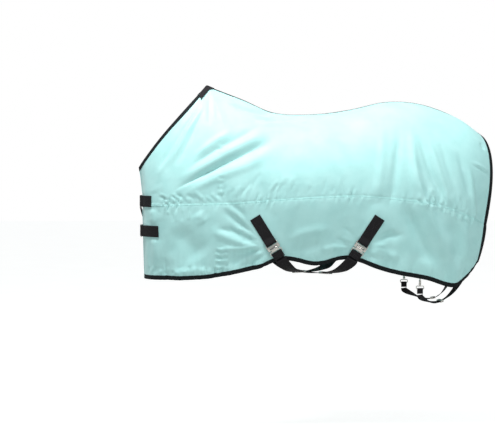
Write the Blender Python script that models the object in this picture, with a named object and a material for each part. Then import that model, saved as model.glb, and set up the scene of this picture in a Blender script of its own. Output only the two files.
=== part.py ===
"""A light horse sheet with chest straps, crossed belly straps and leg straps, in its worn shape.

Metres, +Z up. -X is towards the horse's head and -Y is its near (left) side. The origin is the
underside of the sheet on the spine, at the lowest point of the back.
"""

import math

import bmesh
import bpy
from mathutils import Matrix, Vector

# ---- Driving dimensions -------------------------------------------------------------------
CLOTH = 0.002            # thickness of the sheet's cloth, with its seams
GAP = 0.0004             # clearance between pieces that touch
FOLD_GAP = 0.0018        # clearance inside a folded edge tape
BINDING_WIDTH = 0.018    # folded tape round the edges
BINDING_TAPE = 0.0014
SPINE_TAPE_WIDTH = 0.024
WEBBING_WIDTH = 0.050    # chest and belly straps
WEBBING = 0.0024         # thickness of all the webbing
LEG_WEBBING_WIDTH = 0.025
PLATE = 0.0025           # thickness of the stamped clips
CLIP_LIFT = 0.0078       # middle of a clip above the outside of the cloth
HOOK_TRAVEL = 0.004      # how far a hook pushes in before it can be turned out
WIRE = 0.0020            # radius of ring wire

# One entry per station from the front edge to the rear edge, for the near side: the point on
# the neck or spine line, on the flank seam, and on the hem, then the slope at the top in degrees.
STATIONS = (
    ((-0.722, -0.012, -0.236), (-0.706, -0.012, -0.400), (-0.697, -0.012, -0.732), 58),
    ((-0.690, -0.058, -0.190), (-0.690, -0.100, -0.400), (-0.675, -0.095, -0.731), 56),
    ((-0.625, -0.102, -0.105), (-0.628, -0.182, -0.398), (-0.612, -0.165, -0.730), 54),
    ((-0.545, -0.116, -0.012), (-0.535, -0.228, -0.394), (-0.525, -0.208, -0.728), 50),
    ((-0.470, -0.078, 0.072), (-0.425, -0.254, -0.391), (-0.425, -0.230, -0.721), 42),
    ((-0.420, 0.000, 0.128), (-0.315, -0.272, -0.388), (-0.320, -0.247, -0.702), 30),
    ((-0.265, 0.000, 0.068), (-0.205, -0.286, -0.380), (-0.210, -0.262, -0.678), 16),
    ((-0.115, 0.000, 0.006), (-0.085, -0.296, -0.371), (-0.100, -0.262, -0.640), 6),
    ((0.060, 0.000, -0.001), (0.075, -0.300, -0.361), (0.045, -0.258, -0.663), 0),
    ((0.225, 0.000, 0.020), (0.235, -0.296, -0.357), (0.190, -0.262, -0.638), 0),
    ((0.385, 0.000, 0.054), (0.400, -0.290, -0.370), (0.360, -0.266, -0.694), 0),
    ((0.535, 0.000, 0.047), (0.560, -0.276, -0.390), (0.530, -0.252, -0.728), 0),
    ((0.685, 0.000, -0.005), (0.710, -0.240, -0.440), (0.675, -0.215, -0.760), 0),
    ((0.800, -0.004, -0.086), (0.818, -0.165, -0.490), (0.785, -0.150, -0.655), 0),
)
WITHER = 5               # station where the neck line meets the spine line
REAR = len(STATIONS) - 1
BUTTOCK_BULGE = 0.038    # how far the rear edge bows back between the dock and the flank seam
BULGE_STATIONS = 1.3
HEM_TUCK = 1.6           # how late the skirt turns in under the flank
SEAM_AT = 0.5            # the flank seam's place between the top line (0) and the hem (1)
BODY_MIDDLE = -0.38

COLUMNS = 33
UPPER_ROWS = 8
LOWER_ROWS = 6
REAR_BINDING_STATION = REAR - 0.14

MINT = ("mint_polyester", (0.46, 0.82, 0.80, 1), 0.65, 0.0)
BLACK = ("black_binding", (0.010, 0.016, 0.018, 1), 0.7, 0.0)
WEB = ("black_webbing", (0.012, 0.010, 0.012, 1), 0.75, 0.0)
NICKEL = ("nickel_plate", (0.68, 0.67, 0.64, 1), 0.28, 1.0)


# ---- Scene and materials ------------------------------------------------------------------
def clear_scene():
    for obj in list(bpy.data.objects):
        bpy.data.objects.remove(obj, do_unlink=True)


def material(spec):
    name, color, roughness, metallic = spec
    found = bpy.data.materials.get(name)
    if found:
        return found
    made = bpy.data.materials.new(name)
    made.use_nodes = True
    shader = made.node_tree.nodes["Principled BSDF"]
    shader.inputs["Base Color"].default_value = color
    shader.inputs["Roughness"].default_value = roughness
    shader.inputs["Metallic"].default_value = metallic
    return made


def add_object(name, mesh, spec, frame=None):
    obj = bpy.data.objects.new(name, mesh)
    bpy.context.scene.collection.objects.link(obj)
    mesh.materials.append(material(spec))
    if frame is not None:
        obj.matrix_world = frame
    return obj


def mesh_from(name, points, faces):
    """A closed mesh with its faces turned outwards and its round parts shaded smooth."""
    mesh = bpy.data.meshes.new(name)
    mesh.from_pydata([tuple(point) for point in points], [], faces)
    work = bmesh.new()
    work.from_mesh(mesh)
    bmesh.ops.recalc_face_normals(work, faces=work.faces)
    work.to_mesh(mesh)
    work.free()
    mesh.shade_smooth()
    mesh.set_sharp_from_angle(angle=math.radians(35))
    return mesh


# ---- The horse's outline, as the sheet lies on it -----------------------------------------
def along(values, place):
    """A smooth curve through the values, at a place counted in stations."""
    last = len(values) - 1
    start = min(max(int(math.floor(place)), 0), last - 1)
    step = place - start
    here, there = Vector(values[start]), Vector(values[start + 1])
    before = Vector(values[start - 1]) if start else 2 * here - there
    after = Vector(values[start + 2]) if start + 2 <= last else 2 * there - here
    out_slope = (there - before) / 2
    in_slope = (after - here) / 2
    a = 2 * step**3 - 3 * step**2 + 1
    b = step**3 - 2 * step**2 + step
    c = -2 * step**3 + 3 * step**2
    d = step**3 - step**2
    return a * here + b * out_slope + c * there + d * in_slope


TOP_LINE = [station[0] for station in STATIONS]
SEAM_LINE = [station[1] for station in STATIONS]
HEM_LINE = [station[2] for station in STATIONS]
TOP_SLOPE = [(station[3], 0, 0) for station in STATIONS]


def top_point(station):
    """The neck line and the spine line are two curves that meet in a corner at the withers."""
    if station <= WITHER:
        return along(TOP_LINE[: WITHER + 1], station)
    return along(TOP_LINE[WITHER:], station - WITHER)


def outline(station, drop):
    """A point of the sheet's underside: drop is 0 on the top line and 1 on the hem."""
    seam = along(SEAM_LINE, station)
    if drop > SEAM_AT:
        down = (drop - SEAM_AT) / (1 - SEAM_AT)
        hem = along(HEM_LINE, station)
        turn = down**HEM_TUCK
        return Vector((
            seam.x + (hem.x - seam.x) * turn,
            seam.y + (hem.y - seam.y) * turn,
            seam.z + (hem.z - seam.z) * down,
        ))
    top = top_point(station)
    first = math.radians(along(TOP_SLOPE, station).x)
    turn = first + (math.pi / 2 - first) * drop / SEAM_AT
    out = (math.sin(turn) - math.sin(first)) / (1 - math.sin(first))
    up = math.cos(turn) / math.cos(first)
    near_rear = math.exp(-(((REAR - station) / BULGE_STATIONS) ** 2))
    bulge = BUTTOCK_BULGE * near_rear * math.sin(math.pi * drop / SEAM_AT)
    return Vector((
        top.x + (seam.x - top.x) * out + bulge,
        top.y + (seam.y - top.y) * out,
        seam.z + (top.z - seam.z) * up,
    ))


def outward(station, drop):
    step = 0.004
    low, high = max(drop - step, 0), min(drop + step, 1)
    first, last = max(station - step, 0), min(station + step, REAR)
    if first < WITHER < last:
        first = WITHER
    run = outline(last, drop) - outline(first, drop)
    fall = outline(station, high) - outline(station, low)
    normal = run.cross(fall).normalized()
    here = outline(station, drop)
    middle = Vector((min(max(here.x, -0.5), 0.6), 0, BODY_MIDDLE))
    return normal if normal.dot(here - middle) > 0 else -normal


def on_sheet(station, drop, lift=0.0, side=-1):
    """(point, normal) on the near side, or on the off side with side 1."""
    normal = outward(station, drop)
    point = outline(station, drop) + normal * lift
    if side > 0:
        return flip(point), flip(normal)
    return point, normal


def flip(vector):
    return Vector((vector.x, -vector.y, vector.z))


def on_skirt(x, z, lift=0.0, side=-1):
    """(point, normal) on the lower panel where it has this X and Z."""
    low, high = 0.0, float(REAR)
    drop = 1.0
    for _ in range(30):
        station = (low + high) / 2
        seam, hem = along(SEAM_LINE, station), along(HEM_LINE, station)
        down = min(max((seam.z - z) / (seam.z - hem.z), 0), 1)
        drop = SEAM_AT + (1 - SEAM_AT) * down
        if outline(station, drop).x < x:
            low = station
        else:
            high = station
    return on_sheet(station, drop, lift, side)


def inset(station, drop, distance):
    """The drop that lies this far from here, measured down the sheet."""
    step = 0.01 if drop < SEAM_AT else -0.01
    length = (outline(station, drop + step) - outline(station, drop)).length
    return drop + step * distance / length


# ---- Solid builders -----------------------------------------------------------------------
def slab(name, grid, low, high, spec):
    """A closed solid between two heights over a grid of (point, normal)."""
    rows, columns = len(grid), len(grid[0])
    points = [point + normal * low for row in grid for point, normal in row]
    points += [point + normal * high for row in grid for point, normal in row]
    top = rows * columns
    faces = []
    for i in range(rows - 1):
        for j in range(columns - 1):
            a = i * columns + j
            quad = (a, a + 1, a + columns + 1, a + columns)
            faces.append(quad[::-1])
            faces.append(tuple(top + index for index in quad))
    rim = [j for j in range(columns)]
    rim += [i * columns + columns - 1 for i in range(1, rows)]
    rim += [(rows - 1) * columns + j for j in range(columns - 2, -1, -1)]
    rim += [i * columns for i in range(rows - 2, 0, -1)]
    for a, b in zip(rim, rim[1:] + rim[:1]):
        faces.append((a, b, top + b, top + a))
    return add_object(name, mesh_from(name, points, faces), spec)


def loft(name, sections, spec, frame=None):
    """A closed solid through a row of outlines with the same number of points."""
    count = len(sections[0])
    points = [point for section in sections for point in section]
    faces = [tuple(range(count)), tuple(range(len(points) - count, len(points)))]
    for i in range(len(sections) - 1):
        for j in range(count):
            a, b = i * count + j, i * count + (j + 1) % count
            # The two faces of a twisted strip are split the same way, so they stay parallel.
            if j < count / 2:
                faces += [(a, b, b + count), (a, b + count, a + count)]
            else:
                faces += [(a, b, a + count), (b, b + count, a + count)]
    return add_object(name, mesh_from(name, points, faces), spec, frame)


def ribbon(name, path, across, widths, thick, spec, frame=None):
    """A flat strip of varying width along a path; across gives the direction of its width."""
    sections = []
    for i, point in enumerate(path):
        before, after = path[max(i - 1, 0)], path[min(i + 1, len(path) - 1)]
        forward = (after - before).normalized()
        wide = (across[i] - forward * across[i].dot(forward)).normalized()
        up = wide.cross(forward) * thick / 2
        half = wide * widths[i] / 2
        sections.append((point - half - up, point + half - up, point + half + up, point - half + up))
    return loft(name, sections, spec, frame)


def box_mesh(name, boxes):
    """Boxes given by their low and high corners, in one mesh."""
    points, faces = [], []
    for low, high in boxes:
        start = len(points)
        points += [
            (x, y, z) for x in (low[0], high[0]) for y in (low[1], high[1]) for z in (low[2], high[2])
        ]
        for quad in ((0, 1, 3, 2), (4, 6, 7, 5), (0, 4, 5, 1), (2, 3, 7, 6), (0, 2, 6, 4), (1, 5, 7, 3)):
            faces.append(tuple(start + index for index in quad))
    return mesh_from(name, points, faces)


def boolean(obj, mesh, operation):
    """Cuts the mesh from the object, or joins it on; the helper stays hidden beside it."""
    helper = bpy.data.objects.new(f"{obj.name}_{operation.lower()}", mesh)
    bpy.context.scene.collection.objects.link(helper)
    helper.matrix_world = obj.matrix_world
    helper.hide_render = True
    helper.display_type = "WIRE"
    modifier = obj.modifiers.new(operation.title(), "BOOLEAN")
    modifier.operation = operation
    modifier.solver = "EXACT"
    modifier.object = helper


def tube_mesh(name, path, radius, closed=False, sides=8):
    """Round wire along a path that lies in a plane."""
    count = len(path)
    points, faces = [], []
    plane = (path[1] - path[0]).cross(path[count // 2] - path[0]).normalized()
    for i, point in enumerate(path):
        if closed:
            forward = path[(i + 1) % count] - path[i - 1]
        else:
            forward = path[min(i + 1, count - 1)] - path[max(i - 1, 0)]
        out = forward.normalized().cross(plane)
        for k in range(sides):
            turn = 2 * math.pi * k / sides
            points.append(point + radius * (math.cos(turn) * out + math.sin(turn) * plane))
    for i in range(count if closed else count - 1):
        for k in range(sides):
            a, b = i * sides + k, i * sides + (k + 1) % sides
            c, d = ((i + 1) % count) * sides + (k + 1) % sides, ((i + 1) % count) * sides + k
            faces.append((a, b, c, d))
    if not closed:
        faces.append(tuple(range(sides)))
        faces.append(tuple(range(len(points) - sides, len(points))))
    return mesh_from(name, points, faces)


def cylinder_mesh(name, centre, radius, low, high, sides=12):
    """A round bar along local Z."""
    rings = []
    for z in (low, high):
        for k in range(sides):
            turn = 2 * math.pi * k / sides
            rings.append((centre[0] + radius * math.cos(turn), centre[1] + radius * math.sin(turn), z))
    faces = [tuple(range(sides)), tuple(range(sides, 2 * sides))]
    faces += [(k, (k + 1) % sides, sides + (k + 1) % sides, sides + k) for k in range(sides)]
    return mesh_from(name, rings, faces)


def frame_at(point, down, normal):
    """A frame with X along the strap, Z out of the sheet and Y across the strap."""
    z = normal.normalized()
    x = (down - z * down.dot(z)).normalized()
    y = z.cross(x)
    turn = Matrix((x, y, z)).transposed().to_4x4()
    return Matrix.Translation(point) @ turn


# ---- Panels and bindings ------------------------------------------------------------------
def stations():
    """The columns that the panels and their bindings share."""
    plain = [REAR_BINDING_STATION * i / COLUMNS for i in range(COLUMNS + 1)]
    near_wither = min(range(len(plain)), key=lambda i: abs(plain[i] - WITHER))
    plain[near_wither] = float(WITHER)
    return plain + [float(REAR)]


def upper_drops(station):
    first = inset(station, 0, BINDING_WIDTH)
    start = 0.006 if station >= WITHER else 0.0
    rest = [first + (SEAM_AT - 0.0008 - first) * i / (UPPER_ROWS - 1) for i in range(UPPER_ROWS)]
    return [start] + rest


def lower_drops(station):
    last = inset(station, 1, BINDING_WIDTH)
    rest = [SEAM_AT + 0.0008 + (last - SEAM_AT - 0.0008) * i / (LOWER_ROWS - 1) for i in range(LOWER_ROWS)]
    return rest + [1.0]


def add_panels(label, side):
    upper = [[on_sheet(s, d, 0, side) for d in upper_drops(s)] for s in stations()]
    lower = [[on_sheet(s, d, 0, side) for d in lower_drops(s)] for s in stations()]
    slab(f"{label}_upper_panel", upper, 0, CLOTH, MINT)
    slab(f"{label}_lower_panel", lower, 0, CLOTH, MINT)


def channel(name, pairs, spec):
    """Tape folded over an edge. Each pair is the (point, normal) inside and at the edge."""
    sections = []
    for (inner, inner_normal), (edge, edge_normal) in pairs:
        out = (edge - inner).normalized()
        below, under = -FOLD_GAP - BINDING_TAPE, -FOLD_GAP
        over, above = CLOTH + FOLD_GAP, CLOTH + FOLD_GAP + BINDING_TAPE
        near, far = edge + out * FOLD_GAP, edge + out * (FOLD_GAP + BINDING_TAPE)
        sections.append((
            inner + inner_normal * below,
            far + edge_normal * below,
            far + edge_normal * above,
            inner + inner_normal * above,
            inner + inner_normal * over,
            near + edge_normal * over,
            near + edge_normal * under,
            inner + inner_normal * under,
        ))
    return loft(name, sections, spec)


def add_bindings(label, side):
    neck = [s for s in stations() if s < WITHER - 0.75]
    pairs = [
        (on_sheet(s, inset(s, 0, BINDING_WIDTH), 0, side), on_sheet(s, 0, 0, side)) for s in neck
    ]
    channel(f"{label}_neck_binding", pairs, BLACK)
    pairs = [
        (on_sheet(s, inset(s, 1, BINDING_WIDTH), 0, side), on_sheet(s, 1, 0, side)) for s in stations()
    ]
    channel(f"{label}_hem_binding", pairs, BLACK)
    rear_drops = upper_drops(REAR)[1:] + lower_drops(REAR)[:-1]
    rear_drops[-1] -= 0.012
    pairs = [
        (on_sheet(REAR_BINDING_STATION, d, 0, side), on_sheet(REAR, d, 0, side)) for d in rear_drops
    ]
    channel(f"{label}_rear_binding", pairs, BLACK)


def add_spine_tape():
    grid = []
    for s in stations():
        if s < WITHER + 0.3:
            continue
        edge = inset(s, 0, SPINE_TAPE_WIDTH / 2)
        ridge, _ = on_sheet(s, 0, 0)
        middle = (Vector((ridge.x, 0, ridge.z)), Vector((0, 0, 1)))
        grid.append([on_sheet(s, edge), middle, on_sheet(s, edge, 0, 1)])
    slab("spine_binding", grid, CLOTH + GAP, CLOTH + GAP + BINDING_TAPE, BLACK)


def add_wither_patch():
    """A saddle-shaped reinforcement over both sides, where the neck line meets the spine."""
    depth = 0.034
    half = [[on_sheet(s, 0), on_sheet(s, inset(s, 0, depth))] for s in (4.32, 4.55, 4.78)]
    front, behind = top_point(WITHER), top_point(WITHER + 0.22)
    up = Vector((-0.25, 0, 1)).normalized()
    lift = Vector((0, 0, 0.003))
    ridge = [[(front + lift, up), (behind + lift, up)]]
    off = [[(flip(p), flip(n)) for p, n in row] for row in half[::-1]]
    clear = CLOTH + 0.0042
    slab("wither_patch", half + ridge + off, clear, clear + WEBBING, WEB)


# ---- Clips: a slotted plate on a stay, and a hook on a strap ------------------------------
# Local X runs down the strap from the middle of the plate, Y across it and Z out of the sheet.
PLATE_LENGTH = 0.030
CLIP_WIDTH = 0.058
SLOT_WIDTH = 0.0515
STAY_SLOT = (-0.011, -0.005)
HOOK_OPENING = (-0.001, 0.010)
HOOK_OPENING_WIDTH = 0.036
HOOK_NECK = 0.030
HOOK_HEAD = 0.042
HOOK_LOOP = (PLATE_LENGTH / 2 + HOOK_TRAVEL + 0.0019, 0.0365)
HOOK_SLOT = (0.025, 0.032)


def add_plate(name, frame):
    half = (PLATE_LENGTH / 2, CLIP_WIDTH / 2, PLATE / 2)
    body = box_mesh(name, [(tuple(-v for v in half), half)])
    obj = add_object(name, body, NICKEL, frame)
    boolean(obj, box_mesh(f"{name}_slots", [
        ((STAY_SLOT[0], -SLOT_WIDTH / 2, -0.01), (STAY_SLOT[1], SLOT_WIDTH / 2, 0.01)),
        ((HOOK_OPENING[0], -HOOK_OPENING_WIDTH / 2, -0.01), (HOOK_OPENING[1], HOOK_OPENING_WIDTH / 2, 0.01)),
    ]), "DIFFERENCE")


def add_hook(name, frame):
    """Its head sits behind the plate, its neck comes out over the plate's lower bar."""
    behind = -PLATE - 0.0010
    over = PLATE + 0.0010
    route = (
        (0.0005, behind, HOOK_HEAD), (0.0045, behind, HOOK_HEAD), (0.0070, behind + 0.0010, HOOK_NECK),
        (0.0082, 0.0, HOOK_NECK), (0.0095, over - 0.0008, HOOK_NECK), (0.0120, over, HOOK_NECK),
        (0.0180, over - 0.0002, HOOK_NECK), (HOOK_LOOP[0], 0.0010, CLIP_WIDTH), (0.0230, 0.0, CLIP_WIDTH),
        (HOOK_LOOP[1], 0.0, CLIP_WIDTH),
    )
    path = [Vector((x, 0, z)) for x, z, _ in route]
    across = [Vector((0, 1, 0))] * len(path)
    obj = ribbon(name, path, across, [width for _, _, width in route], 0.0018, NICKEL, frame)
    boolean(obj, box_mesh(f"{name}_slot", [
        ((HOOK_SLOT[0], -SLOT_WIDTH / 2, -0.01), (HOOK_SLOT[1], SLOT_WIDTH / 2, 0.01)),
    ]), "DIFFERENCE")


def wrap(bar, reach, first, last, toward):
    """Half a turn of webbing round a bar: from above it to below it, on the side toward."""
    points = []
    for i in range(7):
        turn = math.pi * i / 6
        down = (1 - math.cos(turn)) / 2
        points.append(Vector((bar + toward * reach * math.sin(turn), 0, first + (last - first) * down)))
    return points


def add_stay(name, frame, surface, tail_length):
    """Webbing sewn flat on the sheet, folded round the plate's upper bar and back on itself."""
    bar = (-PLATE_LENGTH / 2 + STAY_SLOT[0]) / 2
    turn = PLATE / 2 + GAP * 2 + WEBBING / 2
    local = [Vector((bar - 0.008, 0, turn - 0.0010)), Vector((bar - 0.003, 0, turn))]
    local += wrap(bar, 0.0046, turn, -turn, 1)
    local += [Vector((bar - 0.003, 0, -turn)), Vector((bar - tail_length, 0, -turn + 0.0008))]
    out = frame.to_3x3() @ Vector((0, 0, 1))
    turned = [(frame @ point, out) for point in local]
    path = [point for point, _ in surface + turned]
    wide = frame.to_3x3() @ Vector((0, 1, 0))
    across = across_path(path[: len(surface)] + [turned[0][0]], [n for _, n in surface + turned[:1]], wide)
    across = across[:-1] + [wide] * len(turned)
    ribbon(name, path, across, [WEBBING_WIDTH] * len(path), WEBBING, WEB)


def add_strap_end(name, frame, length):
    """The strap's folded end round the hook's lower bar."""
    bar = (HOOK_SLOT[1] + HOOK_LOOP[1]) / 2
    turn = 0.0009 + GAP * 2 + WEBBING / 2
    far = bar + length
    path = [Vector((far, 0, turn)), Vector((bar + 0.010, 0, turn))]
    path += wrap(bar, 0.0050, turn, -turn, -1)
    path += [Vector((bar + 0.010, 0, -turn)), Vector((far, 0, -turn))]
    across = [Vector((0, 1, 0))] * len(path)
    ribbon(name, path, across, [WEBBING_WIDTH] * len(path), WEBBING, WEB, frame)


def add_slider(name, frame, strap_width, half_length=0.012):
    """A flat tube that the strap runs through, with two windows in each face."""
    wall, hollow = 0.0020, WEBBING / 2 + 0.0016
    wide = strap_width / 2 + 0.001
    low = (-half_length, -wide - 0.003, -hollow - wall)
    high = (half_length, wide + 0.003, hollow + wall)
    obj = add_object(name, box_mesh(name, [(low, high)]), NICKEL, frame)
    cuts = [((-0.02, -wide, -hollow), (0.02, wide, hollow))]
    boolean(obj, box_mesh(f"{name}_hollow", cuts), "DIFFERENCE")
    for face in (-1, 1):
        for centre in (-0.46 * half_length, 0.46 * half_length):
            near, far = sorted((face * hollow * 0.5, face * 0.02))
            low = (centre - 0.31 * half_length, -wide + 0.004, near)
            high = (centre + 0.31 * half_length, wide - 0.004, far)
            boolean(obj, box_mesh(f"{name}_window", [(low, high)]), "DIFFERENCE")


def across_path(path, normals, start):
    """The width direction of a strip at each point, square to its normal and kept on one side."""
    directions = []
    for i, normal in enumerate(normals):
        forward = path[min(i + 1, len(path) - 1)] - path[max(i - 1, 0)]
        wide = normal.cross(forward).normalized()
        directions.append(wide if wide.dot(start) > 0 else -wide)
        start = directions[-1]
    return directions


def smooth_route(route, between):
    """A route of (point, normal) pairs with points added on a smooth curve through it."""
    places = [i / between for i in range((len(route) - 1) * between + 1)]
    points = [point for point, _ in route]
    normals = [normal for _, normal in route]
    return [along(points, p) for p in places], [along(normals, p).normalized() for p in places]


def frame_on_path(path, across, target):
    """A slider's frame on the stretch of a strap that passes nearest to a point."""
    index = min(range(1, len(path) - 2), key=lambda i: ((path[i] + path[i + 1]) / 2 - target).length)
    middle = (path[index] + path[index + 1]) / 2
    forward = (path[index + 1] - path[index]).normalized()
    wide = (across[index] + across[index + 1]) / 2
    return frame_at(middle, forward, forward.cross(wide))


# ---- Belly straps -------------------------------------------------------------------------
SEWN_LIFT = CLOTH + GAP * 2 + WEBBING / 2
FRONT_STAY = ((-0.223, -0.453), (-0.154, -0.564))
REAR_STAY = ((0.324, -0.4545), (0.252, -0.566))
CROSSING = 0.045         # X where the two straps cross under the belly
OFF_REAR_ANCHOR = ((0.240, -0.586), (0.272, -0.535), (0.300, -0.490), (0.324, -0.4545))
OFF_FRONT_ANCHOR = ((-0.142, -0.584), (-0.171, -0.535), (-0.197, -0.490), (-0.223, -0.453))
ANCHOR_LIFT = SEWN_LIFT + 0.0012
REAR_STRAP_UNDER = 0.006 # how far the rear strap passes under the front one
# X from the crossing, Y, Z, how far the strap leans in degrees, and its share of the drop
# that takes one strap under the other.
BELLY_PATH = (
    (-0.118, -0.241, -0.676, 45, 1), (-0.090, -0.180, -0.692, 70, 1),
    (-0.048, -0.095, -0.701, 83, 1), (0.0, 0.0, -0.704, 90, 1),
    (0.048, 0.095, -0.701, 97, 1), (0.090, 0.180, -0.692, 110, 1),
    (0.120, 0.245, -0.668, 138, 1), (0.148, 0.277, -0.638, 165, 0.5),
)


def surcingle_frame(stay):
    """The clip's frame past the lower end of a stay on the near skirt."""
    (x0, z0), (x1, z1) = stay
    length = math.hypot(x1 - x0, z1 - z0)
    reach = 1 + 0.016 / length
    x, z = x0 + (x1 - x0) * reach, z0 + (z1 - z0) * reach
    point, normal = on_skirt(x, z, CLOTH + CLIP_LIFT)
    above, _ = on_skirt(x1, z1, CLOTH + CLIP_LIFT)
    return frame_at(point, point - above, normal)


def stay_surface(stay):
    (x0, z0), (x1, z1) = stay
    places = [i / 4 * 0.82 for i in range(5)]
    return [on_skirt(x0 + (x1 - x0) * p, z0 + (z1 - z0) * p, SEWN_LIFT) for p in places]


def belly_route(frame, anchor, under):
    """(point, normal) from the hook's folded end, under the belly to the anchor on the off side."""
    out = frame.to_3x3() @ Vector((0, 0, 1))
    lead = 1 if anchor[-1][0] > CROSSING else -1
    route = [(frame @ Vector((0.068, 0, 0)), out), (frame @ Vector((0.082, 0, 0.0015)), out)]
    for x, y, z, lean, share in BELLY_PATH:
        tilt = math.radians(lean)
        normal = Vector((0, -math.cos(tilt), -math.sin(tilt)))
        route.append((Vector((CROSSING + lead * x, y, z - under * share)), normal))
    return route + [on_skirt(x, z, ANCHOR_LIFT, 1) for x, z in anchor]


def add_anchor_patch(name, low_end, high_end):
    """A sewn-down patch over a strap's end on the off side."""
    run, rise = high_end[0] - low_end[0], high_end[1] - low_end[1]
    places = [0.25 + 0.8 * i / 3 for i in range(4)]
    spots = [on_skirt(low_end[0] + run * p, low_end[1] + rise * p, 0, 1) for p in places]
    forward = (spots[-1][0] - spots[0][0]).normalized()
    grid = []
    for point, normal in spots:
        wide = normal.cross(forward) * 0.030
        grid.append([(point - wide, normal), (point, normal), (point + wide, normal)])
    low = SEWN_LIFT + WEBBING / 2 + 0.0026
    slab(name, grid, low, low + 0.0016, WEB)


def add_surcingle(label, stay, anchor, under, slider_x):
    frame = surcingle_frame(stay)
    add_plate(f"{label}_plate", frame)
    add_hook(f"{label}_hook", frame)
    add_strap_end(f"{label}_strap_end", frame, 0.0275)
    add_stay(f"{label}_stay", frame, stay_surface(stay), 0.016)
    path, normals = smooth_route(belly_route(frame, anchor, under), 2)
    across = across_path(path, normals, frame.to_3x3() @ Vector((0, 1, 0)))
    ribbon(f"{label}_strap", path, across, [WEBBING_WIDTH] * len(path), WEBBING, WEB)
    target = Vector((slider_x, -0.110, -0.700 - under))
    add_slider(f"{label}_slider", frame_on_path(path, across, target), WEBBING_WIDTH)
    add_anchor_patch(f"{label}_anchor", anchor[-2], anchor[-1])


# ---- Chest straps -------------------------------------------------------------------------
# Each strap's height, and the station where its stay is sewn on.
CHEST_LEVELS = {"upper_chest": (-0.386, 1.55), "lower_chest": (-0.518, 2.0)}
# How far a chest strap stands off the off side, by station.
CHEST_LIFTS = ((0.80, 0.0105), (1.05, 0.0100), (1.30, 0.0085), (1.60, 0.0050), (1.90, 0.0044), (2.25, 0.0044))


def at_level(station, z, lift, side):
    """(point, normal) where a station's line passes this height."""
    low, high = 0.0, 1.0
    for _ in range(30):
        drop = (low + high) / 2
        if outline(station, drop).z > z:
            low = drop
        else:
            high = drop
    return on_sheet(station, drop, lift, side)


def add_chest_strap(label, level, last_station):
    edge, _ = at_level(0.0, level, CLOTH + CLIP_LIFT, -1)
    out = Vector((-1, 0, 0))
    frame = frame_at(Vector((edge.x, -0.020, edge.z)), Vector((0, 1, 0)), out)
    add_plate(f"{label}_plate", frame)
    add_hook(f"{label}_hook", frame)
    add_strap_end(f"{label}_strap_end", frame, 0.0135)
    shares = (1.0, 0.75, 0.5)
    sewn = [at_level(last_station * share, level, SEWN_LIFT + 0.0006, -1) for share in shares]
    add_stay(f"{label}_stay", frame, sewn, 0.010)
    route = [(frame @ Vector((0.0545, 0, 0)), out), (frame @ Vector((0.0620, 0, 0)), out)]
    route += [at_level(s, level, lift, 1) for s, lift in CHEST_LIFTS]
    path, normals = smooth_route(route, 2)
    across = across_path(path, normals, frame.to_3x3() @ Vector((0, 1, 0)))
    ribbon(f"{label}_strap", path, across, [WEBBING_WIDTH] * len(path), WEBBING, WEB)
    target, _ = at_level(1.15, level, 0.0100, 1)
    add_slider(f"{label}_slider", frame_on_path(path, across, target), WEBBING_WIDTH)


# ---- Leg straps ---------------------------------------------------------------------------
LEG_CLIP = (0.510, -0.700)     # X and Z of the ring's straight bar, inside the hem
LEG_CLIP_INSET = 0.018
RING_WIDTH = 0.034
RING_HEIGHT = 0.024
HOOK_WIRE = 0.0024
BOLT_RADIUS = 0.0018
BOLT_OFFSET = 0.0080
EYE_TOP = -0.0585


def ring_path():
    """A D: a straight bar along X at the top and a round bow below it."""
    half = RING_WIDTH / 2
    path = [Vector((-half + RING_WIDTH * i / 4, 0, 0)) for i in range(5)]
    for i in range(1, 12):
        turn = math.pi * i / 12
        path.append(Vector((half * math.cos(turn), 0, -RING_HEIGHT * math.sin(turn))))
    return path


def eye_path():
    """A rounded loop for the webbing."""
    half, low = 0.0165, EYE_TOP - 0.014
    corners = ((-half, EYE_TOP - 0.003), (-half + 0.003, EYE_TOP), (0, EYE_TOP), (half - 0.003, EYE_TOP),
               (half, EYE_TOP - 0.003), (half, low + 0.003), (half - 0.003, low), (0, low),
               (-half + 0.003, low), (-half, low + 0.003))
    return [Vector((x, 0, z)) for x, z in corners]


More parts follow.
